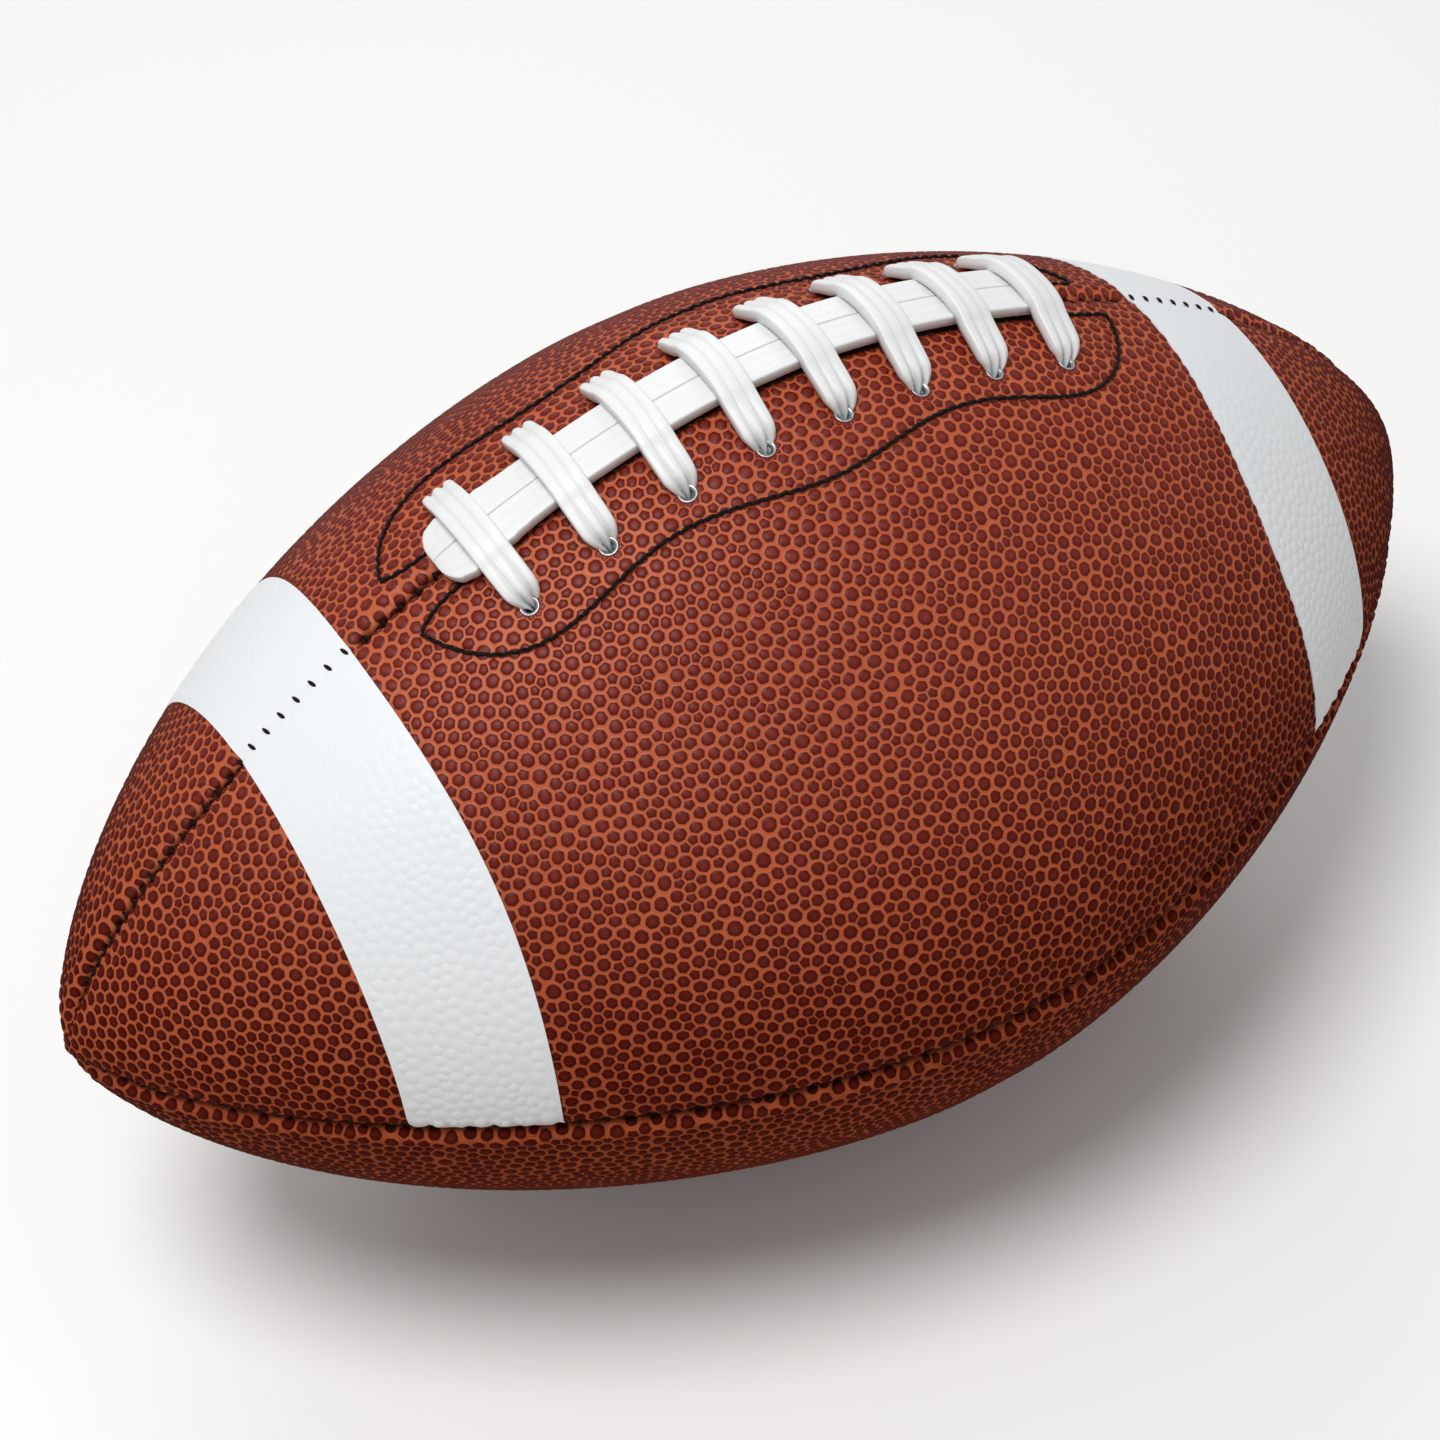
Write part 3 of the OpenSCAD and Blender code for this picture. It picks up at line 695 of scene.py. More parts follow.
def scatter(pitch, jitter, rng, mid, low_s, high_s, low_phi, high_phi, holes):
    """Loose points on a sheet, in rows that are shifted by turns and stay clear of the cut edges."""
    ends = np.array([[low_s(p), high_s(p)] for p in (mid, mid - QUARTER / 2, mid + QUARTER / 2)])
    lengths = np.arange(length_at_s(ends[:, 0].min()), length_at_s(ends[:, 1].max()), pitch * ROW_SHARE)
    rows = []
    for j, length in enumerate(lengths):
        s = s_at_length(length)
        low, high = low_phi(np.array([s]))[0], high_phi(np.array([s]))[0]
        count = max(1, round((high - low) * reach(s, mid) / pitch))
        across = (np.arange(count) + 0.25 + 0.5 * (j % 2) + jitter * rng.uniform(-1, 1, count)) / count
        along = length + jitter * pitch * rng.uniform(-1, 1, count)
        rows.append(np.stack([s_at_length(along), low + across * (high - low)], -1))
    free = np.concatenate(rows)
    s, phi = free.T
    side = np.minimum(phi - low_phi(s), high_phi(s) - phi) * reach(s, TOP_SEAM)
    end = np.minimum(length_at_s(s) - length_at_s(low_s(phi)), length_at_s(high_s(phi)) - length_at_s(s))
    room = np.minimum(side, end)
    points = at(s, phi)
    for hole_s, hole_phi, radius in holes:
        room = np.minimum(room, np.linalg.norm(points - at(hole_s, hole_phi), axis=1) - radius)
    return free[room > EDGE_ROOM * pitch]


print("rows of points lie", ROW_SHARE, "of a pitch apart")

# %% [markdown]
# Scattered points lie too close here and too far there. Lloyd's rule evens them out: each moves to
# the middle of the triangles round it, and points with too little room are left out once. The few
# rounds leave the pebbles as uneven as those of embossed leather.

# %% Even the points out
CULL_STEP = 2
LEAST_CELL = 0.68


def relax(uv, edges, fixed_count, steps):
    """Moves each loose point to the middle of the triangles round it, weighted by their real area."""
    for step in range(steps):
        tris = triangulate(uv, edges)
        corners = at(*from_chart(uv))[tris]
        sides = corners[:, 1:] - corners[:, :1]
        area = np.linalg.norm(np.cross(sides[:, 0], sides[:, 1]), axis=1)
        centre = uv[tris].mean(axis=1)
        weight = np.maximum(np.bincount(tris.ravel(), np.repeat(area, 3), len(uv)), 1e-12)
        for axis in (0, 1):
            pull = np.bincount(tris.ravel(), np.repeat(area * centre[:, axis], 3), len(uv)) / weight
            uv[fixed_count:, axis] = pull[fixed_count:]
        if step == CULL_STEP:
            roomy = weight > LEAST_CELL * np.median(weight)
            uv = uv[roomy | (np.arange(len(uv)) < fixed_count)]
    return uv


print("a cell under", LEAST_CELL, "of the usual size goes after round", CULL_STEP + 1)

# %% A whole sheet
PEBBLE_PITCH = 2.31
JITTER = 0.7
RELAX_STEPS = 7
BACKING_PITCH = 9.0
BACKING_JITTER = 0.1
HOLE_KEEP = 0.96


def sheet(name, mid, low_s, high_s, low_phi, high_phi, holes, seed):
    """Points and triangles of a sheet: a fine mesh for its outside, then a coarse one for its back."""
    rng = np.random.default_rng(seed)
    region = (low_s, high_s, low_phi, high_phi, holes)
    cut, edges = rim(*region)
    all_s, all_phi, all_tris, loose, backing = [], [], [], [], []
    plies = (PEBBLE_PITCH, JITTER, RELAX_STEPS, 0), (BACKING_PITCH, BACKING_JITTER, 1, 1)
    for pitch, jitter, steps, is_back in plies:
        places = np.concatenate([cut, scatter(pitch, jitter, rng, mid, *region)])
        uv = relax(chart(places[:, 0], places[:, 1]), edges, len(cut), steps)
        tris = triangulate(uv, edges)
        s, phi = from_chart(uv[tris].mean(axis=1))
        inside = (phi > low_phi(s)) & (phi < high_phi(s)) & (s > low_s(phi)) & (s < high_s(phi))
        centres = at(s, phi)
        for hole_s, hole_phi, radius in holes:
            inside &= np.linalg.norm(centres - at(hole_s, hole_phi), axis=1) > radius * HOLE_KEEP
        all_tris.append(tris[inside] + sum(len(v) for v in all_s))
        s, phi = from_chart(uv)
        all_s.append(s)
        all_phi.append(phi)
        loose.append(np.arange(len(uv)) >= len(cut))
        backing.append(np.full(len(uv), is_back))
    print(name, "pebbles:", len(all_s[0]), "backing points:", len(all_s[1]))
    return [np.concatenate(part) for part in (all_s, all_phi, all_tris, loose, backing)]


print("pebbles lie", PEBBLE_PITCH, "mm apart")

# %% [markdown]
# The tree below raises the pebbles. It also draws the sheet inwards by its thickness and turns that
# copy round, so that the panel is a closed piece of leather. How high a cell rises is the relief
# that its point carries: less at cut edges and holes, and none under a stripe. Small cells would
# make small caps, so the tree evens them out and keeps what the materials need: the middle and
# the fair size of each cell, and a random tone.

# %% Cells of the pebble tree
EVENING = 0.7
g, given = new_tree("pebbled sheet", [
    ("Height", "Float", 0.3 * MM), ("Crown", "Float", 0.08 * MM), ("Cap share", "Float", 0.8),
    ("Crown share", "Float", 0.55), ("Roundness", "Float", 0.35), ("Even size", "Float", 1.2 * MM),
    ("Sharp angle", "Float", 4.0), ("Thickness", "Float", 2.2 * MM), ("Seed", "Int", 1),
    ("Material", "Material", None)])
parted = g.node("GeometryNodeSeparateGeometry", {"domain": "POINT"},
                {0: given["Geometry"], "Selection": g.named("backing")})
cells = g.node("GeometryNodeDualMesh", None, {0: parted.twin("Inverted"), 1: True})
cells = g.keep(cells, "centre", g.node("GeometryNodeInputPosition"), kind="FLOAT_VECTOR")
cell_size = g.math("SQRT", g.node("GeometryNodeInputMeshFaceArea") * (1 / math.pi))
fair_size = given["Even size"] * g.math("POWER", cell_size / given["Even size"], EVENING)
tone = g.node("FunctionNodeRandomValue", {"data_type": "FLOAT"}, {"Seed": given["Seed"]}, out=1)
for name, value in (("fit", fair_size / cell_size), ("size", fair_size), ("tone", tone)):
    cells = g.keep(cells, name, value)
print("kept on each cell: centre, fit, size and tone")

# %% Caps and crowns of the pebble tree
LEAST_RELIEF = 0.02
WIDEST_CAP = 0.84
relief = g.named("relief")
caps = g.extrude(cells, relief * given["Height"], Selection=g.more(relief, LEAST_RELIEF), Individual=True)
top = caps.twin("Top")
caps = g.shrink(caps, top, g.math("MINIMUM", g.named("fit") * given["Cap share"], WIDEST_CAP))
spoke = g.node("ShaderNodeVectorMath", {"operation": "SUBTRACT"},
               {0: g.node("GeometryNodeInputPosition"), 1: g.named("centre", "FLOAT_VECTOR")})
long = g.node("ShaderNodeVectorMath", {"operation": "LENGTH"}, {0: spoke}, out="Value")
even = g.named("size") * given["Cap share"] / long
grown = g.node("ShaderNodeVectorMath", {"operation": "SCALE"},
               {0: spoke, "Scale": (even - 1) * given["Roundness"]})
caps = g.node("GeometryNodeSetPosition", None, {0: caps, "Selection": top, "Offset": grown})
caps = g.keep(caps, "cap", 1.0, top, "POINT")
crowns = g.extrude(caps, relief * given["Crown"], Selection=top, Individual=True)
crowns = g.shrink(crowns, crowns.twin("Top"), given["Crown share"])
print("the pebbles reach", WIDEST_CAP, "of their cells at most")

# %% [markdown]
# The back is the coarse mesh, drawn inwards and turned round. Points of both that share a place are
# merged, which closes the piece. Edges that bend more than the sharp angle stay hard.

# %% Back of the pebble tree
MERGE_GAP = 0.002 * MM
back = g.node("GeometryNodeDualMesh", None, {0: parted, 1: True})
back = g.extrude(back, 0 - given["Thickness"], Individual=False)
back = g.node("GeometryNodeFlipFaces", None, {0: back})
both = g.node("GeometryNodeJoinGeometry", None, {0: back})
g.tree.links.new(crowns.socket, both.socket.node.inputs[0])
both = g.node("GeometryNodeMergeByDistance", None, {0: both, "Distance": MERGE_GAP})
sharp = g.more(g.node("GeometryNodeInputMeshEdgeAngle"), given["Sharp angle"])
both = g.node("GeometryNodeSetShadeSmooth", {"domain": "EDGE"},
              {0: both, "Selection": sharp, "Shade Smooth": False})
for name in ("backing", "relief", "fit"):
    both = g.node("GeometryNodeRemoveAttribute", None, {0: both, "Name": name})
pebble_tree = close_tree(g, both, given["Material"])

# %% [markdown]
# ## Materials of the leather and of its white coat
# The leather is dyed orange-tan, and the tops of the pebbles are printed dark maroon. The cap
# attribute is 0 in the hollows and 1 on the caps, so a soft step of it divides the two colours, and
# noise makes its edge rough. Each cap is painted darker towards its rim and lighter in its middle,
# as painted shade and a painted highlight on its dome. The lower leather is much darker than the
# lamps alone would make it, so both colours are painted darker towards the bottom as painted shade,
# and the caps on the underside are painted warm brown as a painted reflection of bounced light. Only
# the upper leather has a faint gloss. The deep attribute makes the seams nearly black, as painted
# shade in the grooves. The white coat is smoother and glossier, with faint stains.

# %% Pebbled leather
CAP_DARK = rgb(106, 30, 19)
CAP_LIGHT = rgb(132, 49, 36)
CAP_RIM_SHADE = rgb(78, 15, 8)
HOLLOW_LIGHT = rgb(192, 100, 65)
HOLLOW_DARK = rgb(164, 75, 45)
SEAM_SHADE = rgb(22, 7, 4)
# colours of the painted shade on the lower leather
LOW_CAP_SHADE = rgb(44, 5, 1)
LOW_HOLLOW_SHADE = rgb(130, 56, 28)
UNDER_CAP_BOUNCE = rgb(112, 44, 18)
UNDER_Z = -0.045
LOW_Z = 0.002
HIGH_Z = 0.060

leather, g = new_material("pebbled leather")
rough_edge = (g.noise(1100.0) - 0.5) * 0.35
from_centre = g.from_centre() + rough_edge * 0.3
cap_edge = g.smooth(g.attribute("cap") + rough_edge * 0.7, 0.45, 0.90)
cap_edge = cap_edge * (1 - g.smooth(from_centre, 0.84, 0.98))
patch = g.noise(18.0, 3.0)
fine = g.noise(2600.0, 3.0)
high = g.smooth(g.height(), LOW_Z, HIGH_Z)
deep = g.smooth(g.attribute("deep"), 0.6, 1.7)
hollow_colour = g.mix(patch, HOLLOW_DARK, HOLLOW_LIGHT)
# painted shade: the hollows are darker towards the bottom
hollow_colour = g.mix((1 - high) * 0.3, hollow_colour, LOW_HOLLOW_SHADE)
cap_colour = g.mix(g.attribute("tone") * 0.6 + patch * 0.4, CAP_DARK, CAP_LIGHT)
# painted shade and highlight: each cap is darker at its rim and lighter in its middle, as light falls on a
# dome
cap_colour = g.mix(g.smooth(from_centre, 0.25, 0.8) * 0.85, cap_colour, CAP_RIM_SHADE)
# painted shade: the caps are much darker towards the bottom
cap_colour = g.mix((1 - high) * 0.62, cap_colour, LOW_CAP_SHADE)
# painted reflection: the caps on the underside turn warm brown, for the warm light bounced up onto them
cap_colour = g.mix(g.smooth(g.height(), LOW_Z, UNDER_Z) * 0.5, cap_colour, UNDER_CAP_BOUNCE)
g.finish({
    # painted shade: the leather is nearly black where the seam grooves are deep
    "Base Color": g.mix(deep * 0.9, g.mix(cap_edge, hollow_colour, cap_colour), SEAM_SHADE),
    "Roughness": 0.6 + fine * 0.14,
    "Normal": g.bump(fine, 0.00012, 0.5),
    "Specular IOR Level": 0.02,
    "Coat Weight": high * (1 - deep) * 0.28,
    "Coat Roughness": 0.42,
})

# %% White coat
COAT_WHITE = rgb(222, 226, 229)
COAT_STAIN = rgb(205, 205, 200)

coat, g = new_material("white coat")
fine = g.noise(2200.0, 3.0)
stain = g.smooth(g.noise(40.0, 4.0), 0.62, 0.8)
g.finish({
    "Base Color": g.mix(stain * 0.15, COAT_WHITE, COAT_STAIN),
    "Roughness": 0.34 + fine * 0.14,
    "Normal": g.bump(fine, 0.0001, 0.35),
    "Specular IOR Level": 0.5,
})

# %% [markdown]
# ## The four panels
# Each panel runs from tip to tip between two seams. The two upper ones give way at the slit and
# have eight lace holes each, and the rear one has the hole of the valve. A real panel is cut flat,
# sewn inside out and turned. Here it is made in its final shape, because only that shape shows.
# Where a stripe's coat covers the leather, the pebbles are left flat, so that none breaks through.

# %% Edges and holes of a panel
SEAM_GAP = 0.04
EDGE_LIMIT = QUARTER * 0.1
CALM_R = 1.6
CALM_LEAST = 0.4


def seam_line(seam, direction, slit=False):
    """The edge of a panel at a seam, as the angle at each s. It steps back along the slit."""
    def edge(s):
        half = np.where(slit & (np.abs(s) * HALF_LEN < SLIT_END), SLIT_HALF, SEAM_GAP)
        return seam + direction * np.minimum(half / reach(s, TOP_SEAM), EDGE_LIMIT)
    return edge


def calm(points, holes):
    """Pebbles are low round a hole and rise over a short way from it."""
    level = np.ones(len(points))
    for s, phi, radius in holes:
        gap = np.linalg.norm(points - at(s, phi), axis=1) - radius
        level = np.minimum(level, np.clip(gap / CALM_R, CALM_LEAST, 1))
    return level


front_holes, back_holes = [[(s, side_phi(s, side * HOLE_SIDE), HOLE_R)
                            for s, side in lace_holes if side == face] for face in (1, -1)]
valve_hole = (0.0, BACK_TOP, VALVE_R)
print("lace holes in each upper panel:", len(front_holes), len(back_holes))


# %% Raise and press a sheet
def pebbled(name, points, tris, level, backing, **inputs):
    """A sheet with its pebbles raised, pressed into the seams. It keeps the depth for the material."""
    piece = new_piece(name, points, tris, {"relief": level, "backing": backing})
    run_tree(piece, pebble_tree, even_size=PEBBLE_R * MM, **inputs)
    mesh = piece.data
    depths = []
    for data, key in ((mesh.vertices, "co"), (mesh.attributes["centre"].data, "vector")):
        flat = np.empty(len(data) * 3)
        data.foreach_get(key, flat)
        moved, depth = press(flat.reshape(-1, 3) / MM)
        data.foreach_set(key, (moved * MM).ravel())
        depths.append(depth)
    mesh.attributes.new("deep", "FLOAT", "POINT").data.foreach_set("value", depths[0])
    mesh.update()
    return piece


PEBBLE_R = PEBBLE_PITCH * math.sqrt(ROW_SHARE / math.pi)
print("a fair pebble cell has a radius of", round(PEBBLE_R, 2), "mm")

# %% Build the panels
LEATHER_BASE = 0.30
LEATHER_THICK = 1.85
PEBBLE_HEIGHT = 0.38
PEBBLE_CROWN = 0.13
CAP_SHARE = 0.74
CROWN_SHARE = 0.55
EDGE_RELIEF = 0.7
FLAT_FROM = 0.9
UNDER_COAT = 0.4
TIP_END = TIP_SHARE * 0.9999
FIRST_PANEL_SEED = 11


def panel(name, node, mid, holes, seed):
    upper = mid in (FRONT_TOP, BACK_TOP)
    low = seam_line(mid - QUARTER / 2, 1, mid == BACK_TOP)
    high = seam_line(mid + QUARTER / 2, -1, mid == FRONT_TOP)
    ends = [lambda phi, side=side: side * TIP_END + 0 * phi for side in (-1, 1)]
    s, phi, tris, loose, backing = sheet(name, mid, *ends, low, high, holes, seed)
    level = np.where(loose, 1, EDGE_RELIEF) * calm(at(s, phi), holes)
    covered = under_stripe(s, phi) if upper else np.full(len(s), -1.0)
    depth = LEATHER_BASE + np.clip(covered - 1, 0, 1) * UNDER_COAT
    piece = pebbled(name, at(s, phi, depth), tris, level * (covered < FLAT_FROM), backing,
                    height=PEBBLE_HEIGHT * MM, crown=PEBBLE_CROWN * MM, cap_share=CAP_SHARE,
                    crown_share=CROWN_SHARE, thickness=LEATHER_THICK * MM, seed=seed, material=leather)
    put_in_place(piece, node)


for number, (place, mid, holes) in enumerate((
        ("front_top", FRONT_TOP, front_holes), ("back_top", BACK_TOP, back_holes + [valve_hole]),
        ("front_bottom", FRONT_BOTTOM, []), ("back_bottom", BACK_BOTTOM, []))):
    panel("leather_" + place, "panel_" + place, mid, holes, FIRST_PANEL_SEED + number)

# %% [markdown]
# ## The stripes
# A stripe is a white coat on the leather, not a piece of its own leather. It fills the hollows, so
# its pebbles are low and soft, and it is nearly smooth beside the laced seam. Paint in the leather's
# material would be easier, but the coat is a separate node and stands a little proud. The same
# points and the same tree make it, on a sheet that is cut off along two curves.

# %% Build the stripes
COAT_BASE = -0.26
COAT_THICK = 0.3
COAT_HEIGHT = 0.11
COAT_CROWN = 0.04
COAT_CAP_SHARE = 0.72
COAT_SHARP = math.radians(70)
SMOOTH_SIDE = 4
ROUGH_SIDE = 50
FIRST_STRIPE_SEED = 21


def stripe(name, node, mid, side, seed):
    def inner(phi):
        return side * stripe_in(phi)

    def outer(phi):
        return side * STRIPE_OUT / HALF_LEN + 0 * phi

    ends = (inner, outer) if side > 0 else (outer, inner)
    long_sides = [seam_line(mid - way * QUARTER / 2, way) for way in (1, -1)]
    s, phi, tris, loose, backing = sheet(name, mid, *ends, *long_sides, [], seed)
    far = np.abs(phi - TOP_SEAM) * reach(s, TOP_SEAM)
    level = loose * np.clip((far - SMOOTH_SIDE) / (ROUGH_SIDE - SMOOTH_SIDE), 0, 1)
    piece = pebbled(name, at(s, phi, COAT_BASE), tris, level, backing, height=COAT_HEIGHT * MM,
                    crown=COAT_CROWN * MM, cap_share=COAT_CAP_SHARE, sharp_angle=COAT_SHARP,
                    thickness=COAT_THICK * MM, seed=seed, material=coat)
    put_in_place(piece, node)


for number, (place, mid, side) in enumerate((
        ("front_left", FRONT_TOP, -1), ("front_right", FRONT_TOP, 1),
        ("back_left", BACK_TOP, -1), ("back_right", BACK_TOP, 1))):
    stripe("coat_" + place, "stripe_" + place, mid, side, FIRST_STRIPE_SEED + number)

# %% [markdown]
# ## The laces
# One flat lace crosses the slit eight times, over a bar of two more strips that lie along it. Each
# strip is extruded plastic. A cross is flat on the bar, runs straight to its holes and is gathered
# there into a bunch with two deep folds, which fade into soft creases along its top. A curve with
# a profile would keep one section all the way. Rings of points, swept along the route, change it.


# %% Sweep rings of points
def sweep(rings):
    """Points and faces of a closed skin through rings, capped at both ends."""
    count, sides = rings.shape[:2]
    i, j = np.meshgrid(np.arange(count - 1), np.arange(sides), indexing="ij")
    after = (j + 1) % sides
    quads = np.stack([i * sides + j, i * sides + after, (i + 1) * sides + after, (i + 1) * sides + j], -1)
    faces = quads.reshape(-1, 4).tolist()
    faces.append(list(range(sides))[::-1])
    faces.append([(count - 1) * sides + k for k in range(sides)])
    return rings.reshape(-1, 3), faces


def unit(v):
    return v / np.linalg.norm(v, axis=-1, keepdims=True)


def smooth_rows(rows, steps):
    """Points on a smooth curve through rows of numbers, by the Catmull-Rom rule."""
    padded = np.concatenate([2 * rows[:1] - rows[1:2], rows, 2 * rows[-1:] - rows[-2:-1]])
    made = []
    for k in range(1, len(padded) - 2):
        a, b, c, d = padded[k - 1: k + 3]
        t = np.linspace(0, 1, steps, endpoint=False)[:, None]
        made.append(0.5 * (2 * b + (c - a) * t + (2 * a - 5 * b + 4 * c - d) * t ** 2
                           + (3 * b - a - 3 * c + d) * t ** 3))
    return np.concatenate(made + [rows[-1:]])


print("points on a curve through 3 rows in 4 steps:", len(smooth_rows(np.eye(3), 4)))

# %% Section of a strip
TOP_POINTS = 31
UNDER_POINTS = 11
VALLEY_PLACE = 0.36
VALLEY_WIDTH = 0.10
VALLEY_SPREAD = 0.7
VALLEY_DEPTH = 0.1
FOLD_DEPTH = 1.1
FLAT_POWER = 7
BUNCH_POWER = 2.2
CUT_POWER = 24


def section(width, thick, bunch, valley_depth=VALLEY_DEPTH, cut_side=0):
    """Across and up, in millimetres, round a strip. bunch is 0 where it is flat and 1 in a hole.

    It has square corners on the cut side, where another strip lies against it."""
    over = np.sin(np.linspace(1, -1, TOP_POINTS) * QUARTER)
    under = np.sin(np.linspace(-1, 1, UNDER_POINTS + 2)[1:-1] * QUARTER)
    across = np.concatenate([over, under])
    sign = np.concatenate([np.ones(TOP_POINTS), -np.ones(UNDER_POINTS)])
    power = FLAT_POWER + (BUNCH_POWER - FLAT_POWER) * bunch
    power = np.where(across * cut_side > 0, CUT_POWER, power)
    high = (1 - np.abs(across) ** power) ** (1 / power)
    valley_width = VALLEY_WIDTH * (1 + VALLEY_SPREAD * bunch)
    valley = np.exp(-(((np.abs(across) - VALLEY_PLACE) / valley_width) ** 2)) * (sign > 0)
    dip = (valley_depth + (FOLD_DEPTH - valley_depth) * bunch) * valley
    return np.stack([across * width / 2, sign * high * thick / 2 - dip], -1), across, valley


print("points in a section:", TOP_POINTS + UNDER_POINTS)

# %% Route of a cross lace
LACE_WIDTH = 6.3
BAR_WIDTH = 6.0
CREST_HEIGHT = 4.85
BUNCH_WIDE = 1.9
BUNCH_THICK = 1.4
TIP_LEAN = 0.35
LACE_STEPS = 5

half_cross = np.array([
    # side, height, width, thickness, bunch
    [HOLE_SIDE - 0.25, -6.0, BUNCH_WIDE, BUNCH_THICK, 0.6],
    [HOLE_SIDE - 0.2, -3.5, BUNCH_WIDE, BUNCH_THICK, 1.0],
    [HOLE_SIDE - 0.45, -1.9, BUNCH_WIDE * 1.2, BUNCH_THICK, 1.0],
    [HOLE_SIDE - 0.8, -0.65, LACE_WIDTH * 0.62, BUNCH_THICK * 1.15, 1.0],
    [HOLE_SIDE - 1.3, 0.3, LACE_WIDTH * 0.8, BUNCH_THICK * 1.4, 0.95],
    [HOLE_SIDE - 2.1, 1.0, LACE_WIDTH * 0.93, LACE_THICK, 0.75],
    [HOLE_SIDE - 3.4, 1.65, LACE_WIDTH * 0.98, LACE_THICK, 0.4],
    [HOLE_SIDE - 7.4, 2.95, LACE_WIDTH, LACE_THICK, 0.05],
    [BAR_WIDTH + 0.3, 4.05, LACE_WIDTH, LACE_THICK, 0.0],
    [BAR_WIDTH * 0.55, 4.7, LACE_WIDTH, LACE_THICK, 0.0],
])
under_cross = half_cross * [-1, 1, 1, 1, 1]
crest = np.array([[0, CREST_HEIGHT, LACE_WIDTH, LACE_THICK, 0.0]])
cross_rows = smooth_rows(np.concatenate([half_cross, crest, under_cross[::-1]]), LACE_STEPS)
print("rings in a cross lace:", len(cross_rows))

# %% [markdown]
# The lace is drawn plastic. Fine lines run along it, its creases are painted a little darker as painted
# shade, and some light passes into it. Plain white paint would look flat, so a weak scatter below the
# surface softens it.

# %% Lace plastic
LACE_WHITE = rgb(219, 221, 221)
LACE_SHADE = rgb(180, 181, 181)
LACE_GRIME = rgb(214, 212, 206)

lace, g = new_material("lace plastic")
lines = g.math("SINE", g.attribute("across") * 28.0 + g.noise(60.0) * 3.0)
grime = g.smooth(g.noise(120.0, 4.0), 0.55, 0.85)
# painted shade: the creases of the lace are darker
crease_shade = g.mix(g.attribute("valley") * 0.3, LACE_WHITE, LACE_SHADE)
g.finish({
    "Base Color": g.mix(grime * 0.2, crease_shade, LACE_GRIME),
    "Roughness": 0.36 + g.noise(1500.0) * 0.16,
    "Normal": g.bump(lines * 0.35 + g.noise(3000.0, 3.0) * 0.6, 0.00008, 0.4),
    "Subsurface Weight": 0.08,
    "Subsurface Scale": 0.002,
})


# %% Lay strips on the ball
def lay(centre, ahead, rows, wide_way, *shape):
    """Rings of a strip along a line, whose rows are side, height, width, thickness and bunch.

    Each ring has the place across and the creases beside its points, for the material."""
    across = unit(wide_way - ahead * np.sum(ahead * wide_way, axis=-1, keepdims=True))
    rise = np.cross(ahead, across)
    rings, shares, valleys = [], [], []
    for c, x, z, row in zip(centre, across, rise, rows):
        points, share, valley = section(*row[2:5], *shape)
        rings.append(c + points[:, :1] * x + points[:, 1:] * z)
        shares.append(share)
        valleys.append(valley)
    return np.array(rings), np.concatenate(shares), np.concatenate(valleys)


def lace_piece(name, strips, node, crease_shade=1.0):
    """One piece from several strips."""
    points, faces, first = [], [], 0
    for rings, _, _ in strips:
        strip_points, strip_faces = sweep(rings)
        points.append(strip_points)
        faces += [[first + k for k in face] for face in strip_faces]
        first += len(strip_points)
    across, valley = [np.concatenate([strip[k] for strip in strips]) for k in (1, 2)]
    piece = new_piece(name, np.concatenate(points), faces, {"across": across, "valley": valley * crease_shade})
    piece.data.materials.append(lace)
    piece.data.polygons.foreach_set("use_smooth", [True] * len(piece.data.polygons))
    put_in_place(piece, node)


def step_along(s, side, height, step):
    """The way towards the right tip, from one small step before a place to one after it."""
    before, after = [at(s + way * step, side_phi(s + way * step, side), -height) for way in (-1, 1)]
    return unit(after - before)


def length_of(line):
    return float(np.sum(np.linalg.norm(np.diff(line, axis=0), axis=1)))


print("two points 3 and 4 mm apart make", length_of(np.array([[0, 0, 0], [3, 4, 0]])), "mm")

# %% The eight crosses
WIDTH_SPREAD = 0.02
LEAN_SPREAD = 0.35
SMALL_STEP = 0.004
LACE_SEED = 5

strips = []
rng = np.random.default_rng(LACE_SEED)
for x in cross_xs:
    rows = cross_rows.copy()
    rows[:, 2] *= 1 + WIDTH_SPREAD * rng.uniform(-1, 1)
    lean = LEAN_SPREAD * rng.uniform(-1, 1)
    s = (x + lean * rows[:, 0] / HOLE_SIDE + TIP_LEAN * rows[:, 4]) / HALF_LEN
    centre = at(s, side_phi(s, rows[:, 0]), -rows[:, 1])
    ahead = unit(np.gradient(centre, axis=0))
    strips.append(lay(centre, ahead, rows, -step_along(s, rows[:, 0], rows[:, 1], SMALL_STEP)))
lace_piece("laces", strips, "lace_crosses")
print("the last cross is", round(length_of(centre), 1), "mm long")

# %% [markdown]
# The bar is the same lace laid twice along the slit, under the crosses. Its left end is flared and
# rounded, where the strips are folded back, and its right end is a small bump. The two strips nearly
# touch in the middle, which leaves the faint line between them.

# %% Widths of the bar
BAR_THICK = 2.2
BAR_HEIGHT = 1.05
BAR_MIDDLE = 0.015
BAR_RIGHT = 58.6
FLARE = 1.1
FLARE_X = FIRST_CROSS + 2.0
FLARE_LEN = 14.0
LUMP = 0.22
LUMP_LEN = 2.6
END_LEN = 3.2
END_WIDE_SHARE = 0.3
END_THICK_SHARE = 0.45


